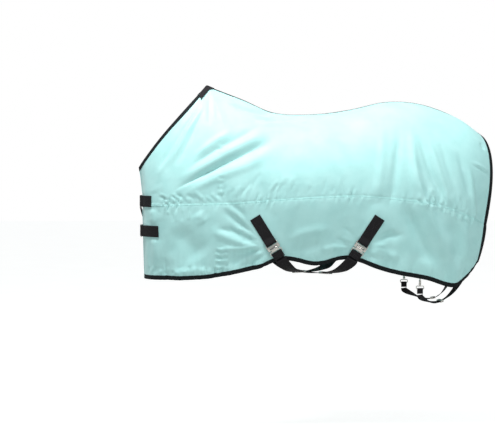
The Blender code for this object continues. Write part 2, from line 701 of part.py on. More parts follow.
def add_leg_clip(label, side):
    point, _ = on_skirt(LEG_CLIP[0], LEG_CLIP[1], 0, side)
    bar = point - Vector((0, side * LEG_CLIP_INSET, 0))
    frame = Matrix.Translation(bar)
    if side > 0:
        frame = frame @ Matrix.Rotation(math.pi, 4, "Z")
    add_object(f"{label}_leg_ring", tube_mesh("ring", ring_path(), WIRE, True), NICKEL, frame)
    add_keeper(label, side, frame)
    centre, reach = -RING_HEIGHT + 0.001, 0.0080
    hook = [Vector((0, 0, -0.034))]
    for i in range(9):
        turn = math.radians(250 - 245 * i / 8)
        hook.append(Vector((0, reach * math.cos(turn), centre + reach * math.sin(turn))))
    obj = add_object(f"{label}_leg_snap", tube_mesh("snap_hook", hook, HOOK_WIRE), NICKEL, frame)
    boolean(obj, cylinder_mesh("snap_barrel", (0, 0), 0.0048, -0.0555, -0.0325), "UNION")
    lug = box_mesh("snap_lug", [((-0.0042, 0.001, -0.0540), (0.0042, BOLT_OFFSET + 0.0036, -0.0470))])
    boolean(obj, lug, "UNION")
    hole = cylinder_mesh("bolt_hole", (0, BOLT_OFFSET), BOLT_RADIUS + GAP, -0.060, -0.030)
    boolean(obj, hole, "DIFFERENCE")
    bolt = cylinder_mesh("bolt", (0, BOLT_OFFSET), BOLT_RADIUS, -0.0525, centre - 0.0012, 10)
    obj = add_object(f"{label}_leg_bolt", bolt, NICKEL, frame)
    knob = box_mesh("bolt_knob", [((-0.0030, BOLT_OFFSET, -0.0385), (0.0030, BOLT_OFFSET + 0.0085, -0.0345))])
    boolean(obj, knob, "UNION")
    obj = add_object(f"{label}_leg_eye", tube_mesh("eye", eye_path(), WIRE, True), NICKEL, frame)
    boolean(obj, cylinder_mesh("eye_stem", (0, 0), 0.0024, EYE_TOP - 0.001, EYE_TOP + 0.0025), "UNION")
    low = EYE_TOP - 0.014
    turn = WIRE + GAP * 2 + WEBBING / 2
    path = [Vector((0, turn, low - 0.020))]
    for i in range(7):
        angle = math.pi * i / 6
        path.append(Vector((0, turn * math.cos(angle), low + turn * math.sin(angle))))
    path.append(Vector((0, -turn, low - 0.020)))
    across = [Vector((1, 0, 0))] * len(path)
    ribbon(f"{label}_leg_strap_end", path, across, [LEG_WEBBING_WIDTH] * len(path), WEBBING, WEB, frame)
    return frame


def add_keeper(label, side, frame):
    """Webbing folded round the ring's bar and sewn inside the hem."""
    turn = WIRE + GAP * 2 + WEBBING / 2
    out = side
    top, _ = on_skirt(LEG_CLIP[0], LEG_CLIP[1] + 0.050, -0.0032, side)
    bar = frame.translation
    path = [top + (bar + Vector((0, out * turn, 0)) - top) * i / 3 for i in range(3)]
    for i in range(7):
        angle = math.pi * i / 6
        path.append(bar + Vector((0, out * turn * math.cos(angle), -turn * math.sin(angle))))
    path.append(bar + Vector((0, -out * turn, 0.020)))
    across = [Vector((1, 0, 0))] * len(path)
    ribbon(f"{label}_leg_keeper", path, across, [LEG_WEBBING_WIDTH] * len(path), WEBBING, WEB)


def add_leg_strap(label, side):
    frame = add_leg_clip(label, side)
    start = frame.translation + Vector((0, 0, EYE_TOP - 0.014 - 0.0245))
    down = Vector((0, 0, -1))
    inside = Vector((0, -side, 0))
    back = Vector((1, 0, 0))
    back_low, low_out = on_skirt(0.728, -0.672, -0.0070, side)
    back_high, high_out = on_skirt(0.738, -0.640, -0.0045, side)
    route = [
        (start, inside),
        (start + Vector((0.003, 0, -0.010)), inside),
        (Vector((0.545, side * 0.190, -0.822)), (inside + down * 0.6).normalized()),
        (Vector((0.585, side * 0.130, -0.838)), (inside * 0.5 + down).normalized()),
        (Vector((0.635, side * 0.095, -0.830)), down),
        (Vector((0.680, side * 0.105, -0.790)), (inside + down + back).normalized()),
        (Vector((0.712, side * 0.145, -0.728)), (inside + back * 0.3).normalized()),
        (back_low, -low_out),
        (back_high, -high_out),
    ]
    path, normals = smooth_route(route, 2)
    across = across_path(path, normals, Vector((1, 0, 0)))
    ribbon(f"{label}_leg_strap", path, across, [LEG_WEBBING_WIDTH] * len(path), WEBBING, WEB)
    target = Vector((0.610, side * 0.110, -0.836))
    add_slider(f"{label}_leg_slider", frame_on_path(path, across, target), LEG_WEBBING_WIDTH, 0.0075)


def main():
    clear_scene()
    for label, side in (("near", -1), ("off", 1)):
        add_panels(label, side)
        add_bindings(label, side)
    add_spine_tape()
    add_wither_patch()
    add_surcingle("front_belly", FRONT_STAY, OFF_REAR_ANCHOR, 0.0, -0.010)
    add_surcingle("rear_belly", REAR_STAY, OFF_FRONT_ANCHOR, REAR_STRAP_UNDER, 0.105)
    for label, (level, last_station) in CHEST_LEVELS.items():
        add_chest_strap(label, level, last_station)
    add_leg_strap("near", -1)
    add_leg_strap("off", 1)


main()
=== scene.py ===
"""A light horse sheet in its worn shape: draped cloth, bound edges, webbing straps and clips."""

import math

import bmesh
import bpy
import numpy as np
from mathutils import Matrix, Vector


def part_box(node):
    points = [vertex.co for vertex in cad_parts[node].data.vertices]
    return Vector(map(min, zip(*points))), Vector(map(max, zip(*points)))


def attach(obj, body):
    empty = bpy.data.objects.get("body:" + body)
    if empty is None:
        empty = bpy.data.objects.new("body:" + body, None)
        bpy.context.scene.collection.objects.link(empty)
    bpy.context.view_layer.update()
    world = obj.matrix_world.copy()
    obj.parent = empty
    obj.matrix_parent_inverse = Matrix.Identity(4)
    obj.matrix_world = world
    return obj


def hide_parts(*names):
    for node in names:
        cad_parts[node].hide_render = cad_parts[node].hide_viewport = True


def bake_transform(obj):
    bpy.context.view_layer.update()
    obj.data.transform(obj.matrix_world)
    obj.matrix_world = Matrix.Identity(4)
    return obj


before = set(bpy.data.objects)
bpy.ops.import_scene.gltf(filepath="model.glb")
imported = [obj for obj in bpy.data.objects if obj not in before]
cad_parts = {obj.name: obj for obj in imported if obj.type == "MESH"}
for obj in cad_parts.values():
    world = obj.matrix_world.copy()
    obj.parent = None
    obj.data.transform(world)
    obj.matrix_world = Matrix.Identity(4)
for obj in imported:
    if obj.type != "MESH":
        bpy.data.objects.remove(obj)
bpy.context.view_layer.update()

bl_info = {
    "name": "Horse Sheet",
    "version": (1, 0, 0),
    "blender": (4, 5, 0),
    "location": "View3D > Sidebar > Horse Sheet",
    "description": "Builds a light horse sheet with its bindings, straps and clips",
    "category": "Add Mesh",
}

# ---- The shape the sheet takes on the horse ------------------------------------------------
# One entry per station from the front edge to the rear edge, for the near side: the point on
# the neck or spine line, on the flank seam, and on the hem, then the slope at the top in degrees.
STATIONS = (
    ((-0.722, -0.012, -0.236), (-0.706, -0.012, -0.400), (-0.697, -0.012, -0.732), 58),
    ((-0.690, -0.058, -0.190), (-0.690, -0.100, -0.400), (-0.675, -0.095, -0.731), 56),
    ((-0.625, -0.102, -0.105), (-0.628, -0.182, -0.398), (-0.612, -0.165, -0.730), 54),
    ((-0.545, -0.116, -0.012), (-0.535, -0.228, -0.394), (-0.525, -0.208, -0.728), 50),
    ((-0.470, -0.078, 0.072), (-0.425, -0.254, -0.391), (-0.425, -0.230, -0.721), 42),
    ((-0.420, 0.000, 0.128), (-0.315, -0.272, -0.388), (-0.320, -0.247, -0.702), 30),
    ((-0.265, 0.000, 0.068), (-0.205, -0.286, -0.380), (-0.210, -0.262, -0.678), 16),
    ((-0.115, 0.000, 0.006), (-0.085, -0.296, -0.371), (-0.100, -0.262, -0.640), 6),
    ((0.060, 0.000, -0.001), (0.075, -0.300, -0.361), (0.045, -0.258, -0.663), 0),
    ((0.225, 0.000, 0.020), (0.235, -0.296, -0.357), (0.190, -0.262, -0.638), 0),
    ((0.385, 0.000, 0.054), (0.400, -0.290, -0.370), (0.360, -0.266, -0.694), 0),
    ((0.535, 0.000, 0.047), (0.560, -0.276, -0.390), (0.530, -0.252, -0.728), 0),
    ((0.685, 0.000, -0.005), (0.710, -0.240, -0.440), (0.675, -0.215, -0.760), 0),
    ((0.800, -0.004, -0.086), (0.818, -0.165, -0.490), (0.785, -0.150, -0.655), 0),
)
WITHER = 5
REAR = len(STATIONS) - 1
BUTTOCK_BULGE = 0.038
BULGE_STATIONS = 1.3
HEM_TUCK = 1.6
SEAM_AT = 0.5
BODY_MIDDLE = np.array((0.0, 0.0, -0.38))
TOP_LINE = np.array([station[0] for station in STATIONS])
SEAM_LINE = np.array([station[1] for station in STATIONS])
HEM_LINE = np.array([station[2] for station in STATIONS])
TOP_SLOPE = np.array([[station[3]] for station in STATIONS], float)

CLOTH = 0.002            # the panels' thickness in the frame, which trims lie over
FABRIC = 0.0009          # the cloth's own thickness
LAP_RISE = FABRIC + 0.0001   # the upper panel over the lower one at the flank seam
THREAD_RISE = 0.0001     # stitches above what they hold
UPPER_CHEST = -0.386     # Z of the two chest straps
LOWER_CHEST = -0.518
LEG_CLIP = (0.510, -0.690)   # X, Z of a leg strap's clip under the hem
COLUMNS = 290            # cloth mesh, about 6 mm a side
UPPER_ROWS = 84
LOWER_ROWS = 60
SIM_COLUMNS = 130        # cloth simulation, about 13 mm a side
SIM_UPPER = 38
SIM_LOWER = 27
NEAR, OFF = -1, 1
SIDE_NAMES = {NEAR: "near", OFF: "off"}

# Soft folds of the near side: points (X, Z) in metres, height (a hollow is negative), and the
# half-widths at its start and end. Each one fades out at its two ends.
NEAR_FOLDS = (
    (((-0.590, -0.342), (-0.411, -0.247), (-0.270, -0.176), (-0.108, -0.104)), -0.0122, 0.007, 0.024),
    (((-0.585, -0.305), (-0.411, -0.212), (-0.285, -0.140), (-0.120, -0.060)), 0.0072, 0.012, 0.026),
    (((-0.600, -0.352), (-0.430, -0.262), (-0.300, -0.196), (-0.190, -0.136)), -0.0030, 0.003, 0.006),
    (((-0.560, -0.375), (-0.411, -0.290), (-0.250, -0.225), (-0.130, -0.160)), 0.0060, 0.014, 0.024),
    (((-0.520, -0.245), (-0.390, -0.160), (-0.310, -0.118), (-0.180, -0.050)), -0.0060, 0.008, 0.018),
    (((-0.500, -0.200), (-0.400, -0.125), (-0.300, -0.070)), 0.0060, 0.012, 0.016),
    (((-0.445, 0.050), (-0.530, -0.075), (-0.640, -0.262)), -0.0052, 0.006, 0.013),
    (((-0.432, 0.030), (-0.478, -0.060), (-0.565, -0.240)), -0.0042, 0.006, 0.013),
    (((-0.450, 0.030), (-0.550, -0.120), (-0.655, -0.300)), 0.0052, 0.007, 0.012),
    (((-0.425, 0.060), (-0.500, -0.060), (-0.600, -0.240)), 0.0050, 0.007, 0.011),
    (((-0.412, 0.090), (-0.418, -0.062)), -0.0026, 0.006, 0.012),
    (((-0.396, 0.090), (-0.396, -0.030)), 0.0018, 0.008, 0.012),
    (((-0.560, -0.480), (-0.505, -0.575), (-0.450, -0.640)), -0.0120, 0.040, 0.050),
    (((-0.480, -0.430), (-0.440, -0.480)), 0.0050, 0.022, 0.026),
    (((-0.664, -0.300), (-0.668, -0.400), (-0.655, -0.600), (-0.660, -0.700)), 0.0065, 0.016, 0.020),
    (((-0.600, -0.700), (-0.480, -0.690), (-0.400, -0.700)), 0.0060, 0.016, 0.018),
    (((-0.190, -0.590), (-0.290, -0.625), (-0.330, -0.680)), -0.0080, 0.010, 0.022),
    (((-0.185, -0.575), (-0.300, -0.560), (-0.420, -0.500)), 0.0070, 0.009, 0.022),
    (((-0.200, -0.540), (-0.290, -0.480), (-0.370, -0.410)), -0.0055, 0.009, 0.018),
    (((-0.080, -0.600), (0.000, -0.585), (0.080, -0.560)), -0.0060, 0.018, 0.022),
    (((-0.090, -0.560), (0.000, -0.520), (0.120, -0.500)), 0.0045, 0.016, 0.022),
    (((0.190, -0.600), (0.130, -0.585), (0.060, -0.600)), 0.0060, 0.009, 0.016),
    (((0.270, -0.600), (0.330, -0.600), (0.420, -0.640)), 0.0070, 0.009, 0.020),
    (((0.275, -0.570), (0.350, -0.540), (0.420, -0.540)), -0.0060, 0.010, 0.020),
    (((0.350, -0.050), (0.330, -0.240), (0.300, -0.400)), 0.0050, 0.014, 0.020),
    (((0.425, -0.050), (0.395, -0.240), (0.366, -0.430)), -0.0085, 0.014, 0.026),
    (((0.470, -0.020), (0.490, -0.300), (0.602, -0.560), (0.690, -0.740)), 0.0185, 0.015, 0.034),
    (((0.500, -0.080), (0.550, -0.250), (0.622, -0.400)), -0.0078, 0.009, 0.016),
    (((0.545, -0.090), (0.598, -0.270), (0.650, -0.420)), 0.0058, 0.008, 0.012),
    (((0.595, -0.100), (0.643, -0.280), (0.695, -0.420)), -0.0050, 0.011, 0.018),
    (((0.676, -0.150), (0.706, -0.260), (0.735, -0.380)), -0.0056, 0.011, 0.018),
    (((0.728, -0.200), (0.746, -0.330), (0.758, -0.520)), 0.0050, 0.008, 0.012),
    (((0.420, -0.360), (0.508, -0.560), (0.572, -0.690)), -0.0190, 0.024, 0.034),
    (((0.640, -0.430), (0.668, -0.560), (0.668, -0.690)), -0.0100, 0.024, 0.032),
    (((0.500, -0.330), (0.560, -0.470), (0.610, -0.600)), 0.0036, 0.005, 0.010),
    (((0.700, -0.460), (0.720, -0.580), (0.715, -0.680)), 0.0070, 0.016, 0.022),
    (((0.735, -0.220), (0.790, -0.246), (0.835, -0.276)), -0.0032, 0.004, 0.006),
    (((0.735, -0.208), (0.792, -0.232), (0.835, -0.262)), 0.0036, 0.005, 0.006),
    (((0.795, -0.124), (0.816, -0.160)), -0.0045, 0.006, 0.006),
    (((-0.340, 0.058), (-0.230, 0.020), (-0.100, -0.006)), -0.0180, 0.010, 0.011),
    (((-0.230, -0.018), (-0.080, -0.028), (0.050, -0.018)), -0.0110, 0.009, 0.010),
    (((-0.250, -0.040), (-0.100, -0.048), (0.030, -0.040)), 0.0060, 0.010, 0.012),
)
# Fans of small creases: the line their feet stand on, the directions of the first and last in
# degrees from +X towards +Z, their shortest and longest, the greatest height, count and seed.
NEAR_CREASES = (
    (((-0.610, -0.378), (-0.360, -0.384)), (158, 138), (0.030, 0.070), 0.0036, 17, 3),
    (((-0.400, -0.372), (-0.290, -0.366)), (80, 62), (0.030, 0.060), 0.0026, 7, 4),
    (((-0.290, -0.360), (-0.090, -0.352)), (52, 62), (0.050, 0.125), 0.0028, 10, 5),
    (((-0.090, -0.352), (0.160, -0.350)), (70, 84), (0.030, 0.080), 0.0018, 11, 6),
    (((-0.205, -0.530), (-0.195, -0.610)), (128, 212), (0.100, 0.240), 0.0050, 13, 7),
    (((-0.205, -0.560), (-0.165, -0.630)), (150, 245), (0.040, 0.110), 0.0045, 9, 8),
    (((0.290, -0.560), (0.240, -0.625)), (28, -52), (0.060, 0.170), 0.0045, 9, 9),
    (((0.230, -0.560), (0.205, -0.600)), (140, 195), (0.040, 0.120), 0.0040, 8, 10),
    (((0.490, -0.374), (0.725, -0.462)), (-28, -52), (0.020, 0.042), 0.0052, 17, 11),
    (((0.500, -0.362), (0.700, -0.440)), (118, 98), (0.030, 0.090), 0.0036, 9, 12),
    (((-0.690, -0.712), (-0.360, -0.704)), (75, 105), (0.018, 0.045), 0.0036, 19, 13),
    (((-0.372, -0.600), (-0.366, -0.690)), (172, 186), (0.018, 0.030), 0.0040, 8, 14),
    (((-0.358, -0.600), (-0.352, -0.690)), (8, -6), (0.014, 0.024), 0.0036, 7, 15),
    (((-0.640, -0.420), (-0.420, -0.420)), (-70, -110), (0.020, 0.060), 0.0022, 9, 16),
)
OFF_CREASES = (
    (((-0.610, -0.378), (-0.360, -0.384)), (158, 138), (0.030, 0.070), 0.0030, 12, 23),
    (((-0.290, -0.360), (0.130, -0.352)), (56, 80), (0.030, 0.100), 0.0022, 16, 25),
    (((0.290, -0.560), (0.240, -0.625)), (28, -52), (0.060, 0.150), 0.0040, 8, 29),
    (((-0.205, -0.530), (-0.195, -0.610)), (128, 212), (0.080, 0.200), 0.0040, 10, 27),
    (((0.490, -0.374), (0.725, -0.462)), (-28, -52), (0.020, 0.042), 0.0044, 14, 31),
    (((-0.690, -0.712), (-0.360, -0.704)), (75, 105), (0.018, 0.045), 0.0030, 15, 33),
)
# The off side hangs in its own, simpler folds.
OFF_FOLDS = (
    (((-0.560, -0.330), (-0.420, -0.230), (-0.250, -0.150)), -0.0100, 0.022),
    (((-0.540, -0.280), (-0.390, -0.180), (-0.240, -0.095)), 0.0070, 0.022),
    (((-0.455, 0.040), (-0.545, -0.090), (-0.640, -0.262)), -0.0045, 0.012),
    (((-0.190, -0.560), (-0.320, -0.500), (-0.450, -0.430)), 0.0065, 0.016),
    (((-0.200, -0.600), (-0.310, -0.590), (-0.420, -0.600)), -0.0065, 0.016),
    (((-0.560, -0.480), (-0.510, -0.580), (-0.470, -0.660)), -0.0090, 0.045),
    (((0.300, -0.600), (0.380, -0.580), (0.460, -0.590)), -0.0055, 0.018),
    (((0.400, -0.130), (0.380, -0.300), (0.350, -0.400)), -0.0080, 0.024),
    (((0.460, -0.120), (0.490, -0.370), (0.560, -0.690)), 0.0095, 0.022),
    (((0.530, -0.170), (0.590, -0.330), (0.620, -0.430)), -0.0080, 0.018),
    (((0.600, -0.180), (0.660, -0.360), (0.690, -0.500)), 0.0060, 0.016),
    (((0.690, -0.200), (0.730, -0.330)), -0.0060, 0.018),
    (((0.420, -0.500), (0.450, -0.600), (0.480, -0.690)), -0.0110, 0.042),
    (((-0.320, 0.046), (-0.230, 0.020), (-0.130, -0.002)), -0.0060, 0.011),
)


def spline(values, place):
    """A smooth curve through the values, at places counted in stations."""
    values = np.asarray(values, float)
    place = np.asarray(place, float)
    last = len(values) - 1
    start = np.clip(np.floor(place).astype(int), 0, last - 1)
    t = (place - start)[..., None]
    ends = np.vstack([2 * values[:1] - values[1:2], values, 2 * values[-1:] - values[-2:-1]])
    before, here, there, after = (ends[start + k] for k in range(4))
    slope_out, slope_in = (there - before) / 2, (after - here) / 2
    return (
        (2 * t**3 - 3 * t**2 + 1) * here + (t**3 - 2 * t**2 + t) * slope_out
        + (3 * t**2 - 2 * t**3) * there + (t**3 - t**2) * slope_in
    )


def outline(station, drop):
    """Points of the sheet's underside: drop is 0 on the top line and 1 on the hem."""
    station, drop = np.broadcast_arrays(np.asarray(station, float), np.asarray(drop, float))
    seam = spline(SEAM_LINE, station)
    hem = spline(HEM_LINE, station)
    neck = spline(TOP_LINE[: WITHER + 1], np.minimum(station, WITHER))
    spine = spline(TOP_LINE[WITHER:], np.maximum(station - WITHER, 0))
    top = np.where((station <= WITHER)[..., None], neck, spine)
    first = np.radians(spline(TOP_SLOPE, station)[..., 0])
    turn = first + (np.pi / 2 - first) * np.minimum(drop, SEAM_AT) / SEAM_AT
    out = ((np.sin(turn) - np.sin(first)) / (1 - np.sin(first)))[..., None]
    up = np.cos(turn) / np.cos(first)
    upper = top + (seam - top) * out
    upper[..., 0] += (
        BUTTOCK_BULGE * np.exp(-(((REAR - station) / BULGE_STATIONS) ** 2))
        * np.sin(np.pi * np.minimum(drop, SEAM_AT) / SEAM_AT)
    )
    upper[..., 2] = seam[..., 2] + (top[..., 2] - seam[..., 2]) * up
    down = np.clip((drop - SEAM_AT) / (1 - SEAM_AT), 0, 1)
    lower = seam + (hem - seam) * (down**HEM_TUCK)[..., None]
    lower[..., 2] = seam[..., 2] + (hem[..., 2] - seam[..., 2]) * down
    return np.where((drop > SEAM_AT)[..., None], lower, upper)


def unit(vectors):
    return vectors / np.maximum(np.linalg.norm(vectors, axis=-1, keepdims=True), 1e-12)


def grid_normals(points):
    """Outward unit normals of a grid of points, whatever way round it runs."""
    run = np.gradient(points, axis=0)
    fall = np.gradient(points, axis=1)
    normals = unit(np.cross(run, fall))
    middle = BODY_MIDDLE + np.clip(points[..., :1], -0.5, 0.6) * np.array((1.0, 0, 0))
    facing = np.sum(normals * (points - middle), axis=-1, keepdims=True)
    return np.where(facing < 0, -normals, normals)


def ease(value, low, high):
    part = np.clip((value - low) / (high - low), 0, 1)
    return part * part * (3 - 2 * part)


def path_distance(x, z, points):
    """Distance of every (x, z) from a line of points, and how far along it (0 to 1) that is."""
    points = np.asarray(points, float)
    lengths = np.linalg.norm(np.diff(points, axis=0), axis=1)
    total, gone = lengths.sum(), 0.0
    best = np.full(x.shape, 9.0)
    place = np.zeros(x.shape)
    for a, b, length in zip(points[:-1], points[1:], lengths):
        part = np.clip(((x - a[0]) * (b[0] - a[0]) + (z - a[1]) * (b[1] - a[1])) / length**2, 0, 1)
        away = np.hypot(x - a[0] - part * (b[0] - a[0]), z - a[1] - part * (b[1] - a[1]))
        nearer = away < best
        best = np.where(nearer, away, best)
        place = np.where(nearer, (gone + part * length) / total, place)
        gone += length
    return best, place


def fold_heights(x, z, folds, depth):
    total = np.zeros(x.shape)
    for points, height, *widths in folds:
        curve = spline(points, np.linspace(0, len(points) - 1, 6 * (len(points) - 1) + 1))
        away, place = path_distance(x, z, curve)
        width = widths[0] + (widths[-1] - widths[0]) * place
        fade = ease(place, 0.0, 0.38) * ease(1 - place, 0.0, 0.26)
        total += height * depth * fade * np.exp(-((away / width) ** 2))
    return total


def crease_folds(fans):
    """Small seeded creases, alternately raised and sunk, as folds."""
    folds = []
    for (foot, last), (first_way, last_way), (short, long), height, count, seed in fans:
        rng = np.random.default_rng(seed)
        for k in range(count):
            share = min(max((k + rng.uniform(-0.35, 0.35)) / (count - 1), 0), 1)
            way = math.radians(first_way + (last_way - first_way) * share + rng.uniform(-7, 7))
            reach = rng.uniform(short, long)
            x = foot[0] + (last[0] - foot[0]) * share
            z = foot[1] + (last[1] - foot[1]) * share
            bend = rng.uniform(-0.12, 0.12) * reach
            middle = (
                x + reach * 0.5 * math.cos(way) - bend * math.sin(way),
                z + reach * 0.5 * math.sin(way) + bend * math.cos(way),
            )
            end = (x + reach * math.cos(way), z + reach * math.sin(way))
            sign = 1 if k % 2 else -1
            width = 0.0045 + 0.05 * reach * rng.uniform(0.5, 1.1)
            rise = sign * height * rng.uniform(0.45, 1.0)
            folds.append((((x, z), middle, end), rise, width * 0.8, width * 1.2))
    return folds


def wander(place, seed, count=5, base=1.0):
    """A smooth seeded wave of about unit height."""
    rng = np.random.default_rng(seed)
    total = np.zeros(np.shape(place))
    for k in range(count):
        pitch = base * (1 + 0.63 * k) * rng.uniform(0.85, 1.15)
        total = total + np.sin(2 * np.pi * (place * pitch + rng.random())) / (1 + 0.5 * k)
    return total / 2.0


# ---- The draped cloth of one side ---------------------------------------------------------
STAY_LINES = {
    "front_belly": ((-0.223, -0.453), (-0.154, -0.564)),
    "rear_belly": ((0.324, -0.4545), (0.252, -0.566)),
}
CALM_LINES = (           # where straps and clips hold the cloth flat
    ((-0.223, -0.453), (-0.120, -0.620)),
    ((0.324, -0.4545), (0.220, -0.616)),
)
CALM_REACH = 0.050
SEAM_PUCKER = 0.0042     # height of the gathers beside the flank seam
SEAM_REACH = 0.026
HEM_WAVE = 0.0050
HEM_REACH = 0.085
# Ways from a thing that holds the cloth flat, where folds begin and where they are whole.
LINE_CALM = (0.026, CALM_REACH + 0.02)   # beside CALM_LINES
EDGE_CALM = (0.06, 0.16)     # the front edge
STAY_END = (0.17, 0.21)      # behind the front edge, where the chest stays end
STRAP_CALM = (0.022, 0.050)  # above and below a chest strap
STAY_CALM = (0.029, 0.050)   # above and below its stay
CLIP_CALM = (0.020, 0.060)
SPINE_CALM = (0.004, 0.030)  # below the back seam, ahead of the withers and behind them
REAR_CALM = 0.050
EDGE_SHARE = 0.35            # how much of a fold is left beside an edge
SEAM_GROOVE = 0.0024     # the seam's own hollow
GROOVE_REACH = 0.006
HEM_PUCKER = 0.0014      # small gathers beside the hem tape
HEM_TIGHT = 0.030
SLACK = 0.0028           # broad soft hollows all over the cloth
DART_PUCKER = 0.0030
DART_REACH = 0.013
DART_PITCH = 0.0250
DART_SPOTS = (-0.155, -0.285, -0.345)    # Z of its puckers above the flank seam
DART_X = -0.369          # a sewn dart behind the shoulder, seen only by its gathers
BODY_GAP = 0.006         # between the settling cloth and the body under it
CLOTH_EASE = 0.004       # share by which the cloth is larger than the body it lies on
SETTLING_SMOOTH = 3      # passes that take the grid's own grain out of the settled folds
MOST_SETTLING = 0.0030   # the settled folds are held within this of the shaped ones
CONTACT = 0.002          # thickness of the contact between cloth and body
CLOTH_SETTINGS = {
    "quality": 6, "mass": 0.0002, "tension_stiffness": 12, "compression_stiffness": 12,
    "shear_stiffness": 4, "bending_stiffness": 3.0, "air_damping": 2, "shrink_min": -CLOTH_EASE,
    "pin_stiffness": 4,
}


def resized(values, columns, rows):
    """A grid of values read at these fractional columns and rows, smoothly between them."""
    across = spline(values.reshape(len(values), -1), columns).reshape(len(columns), *values.shape[1:])
    turned = across.transpose(1, 0, 2)
    down = spline(turned.reshape(len(turned), -1), rows).reshape(len(rows), *turned.shape[1:])
    return down.transpose(1, 0, 2)


def settled_cloth(start, body, held, frames):
    """Runs a cloth simulation of a grid over a fixed body and gives the grid's last places."""
    columns, rows = start.shape[:2]
    faces = grid_faces(columns, rows)
    under = new_object("settling_body", body, faces, None)
    under.modifiers.new("Collision", "COLLISION")
    under.collision.thickness_outer = CONTACT
    under.collision.cloth_friction = 20
    sheet = new_object("settling_cloth", start, faces, None)
    pins = sheet.vertex_groups.new(name="held")
    for index, weight in enumerate(held.ravel()):
        if weight > 0.02:
            pins.add([index], float(weight), "REPLACE")
    cloth = sheet.modifiers.new("Cloth", "CLOTH")
    for name, value in CLOTH_SETTINGS.items():
        setattr(cloth.settings, name, value)
    cloth.settings.vertex_group_mass = "held"
    cloth.collision_settings.distance_min = CONTACT
    cloth.collision_settings.use_self_collision = False
    cloth.point_cache.frame_start, cloth.point_cache.frame_end = 1, frames
    scene = bpy.context.scene
    for moment in range(1, frames + 1):
        scene.frame_set(moment)
    mesh = sheet.evaluated_get(bpy.context.evaluated_depsgraph_get()).to_mesh()
    end = np.empty(len(mesh.vertices) * 3)
    mesh.vertices.foreach_get("co", end)
    for helper in (sheet, under):
        data = helper.data
        bpy.data.objects.remove(helper)
        bpy.data.meshes.remove(data)
    scene.frame_set(1)
    if not np.isfinite(end).all():
        raise RuntimeError("the cloth did not settle")
    return end.reshape(columns, rows, 3)


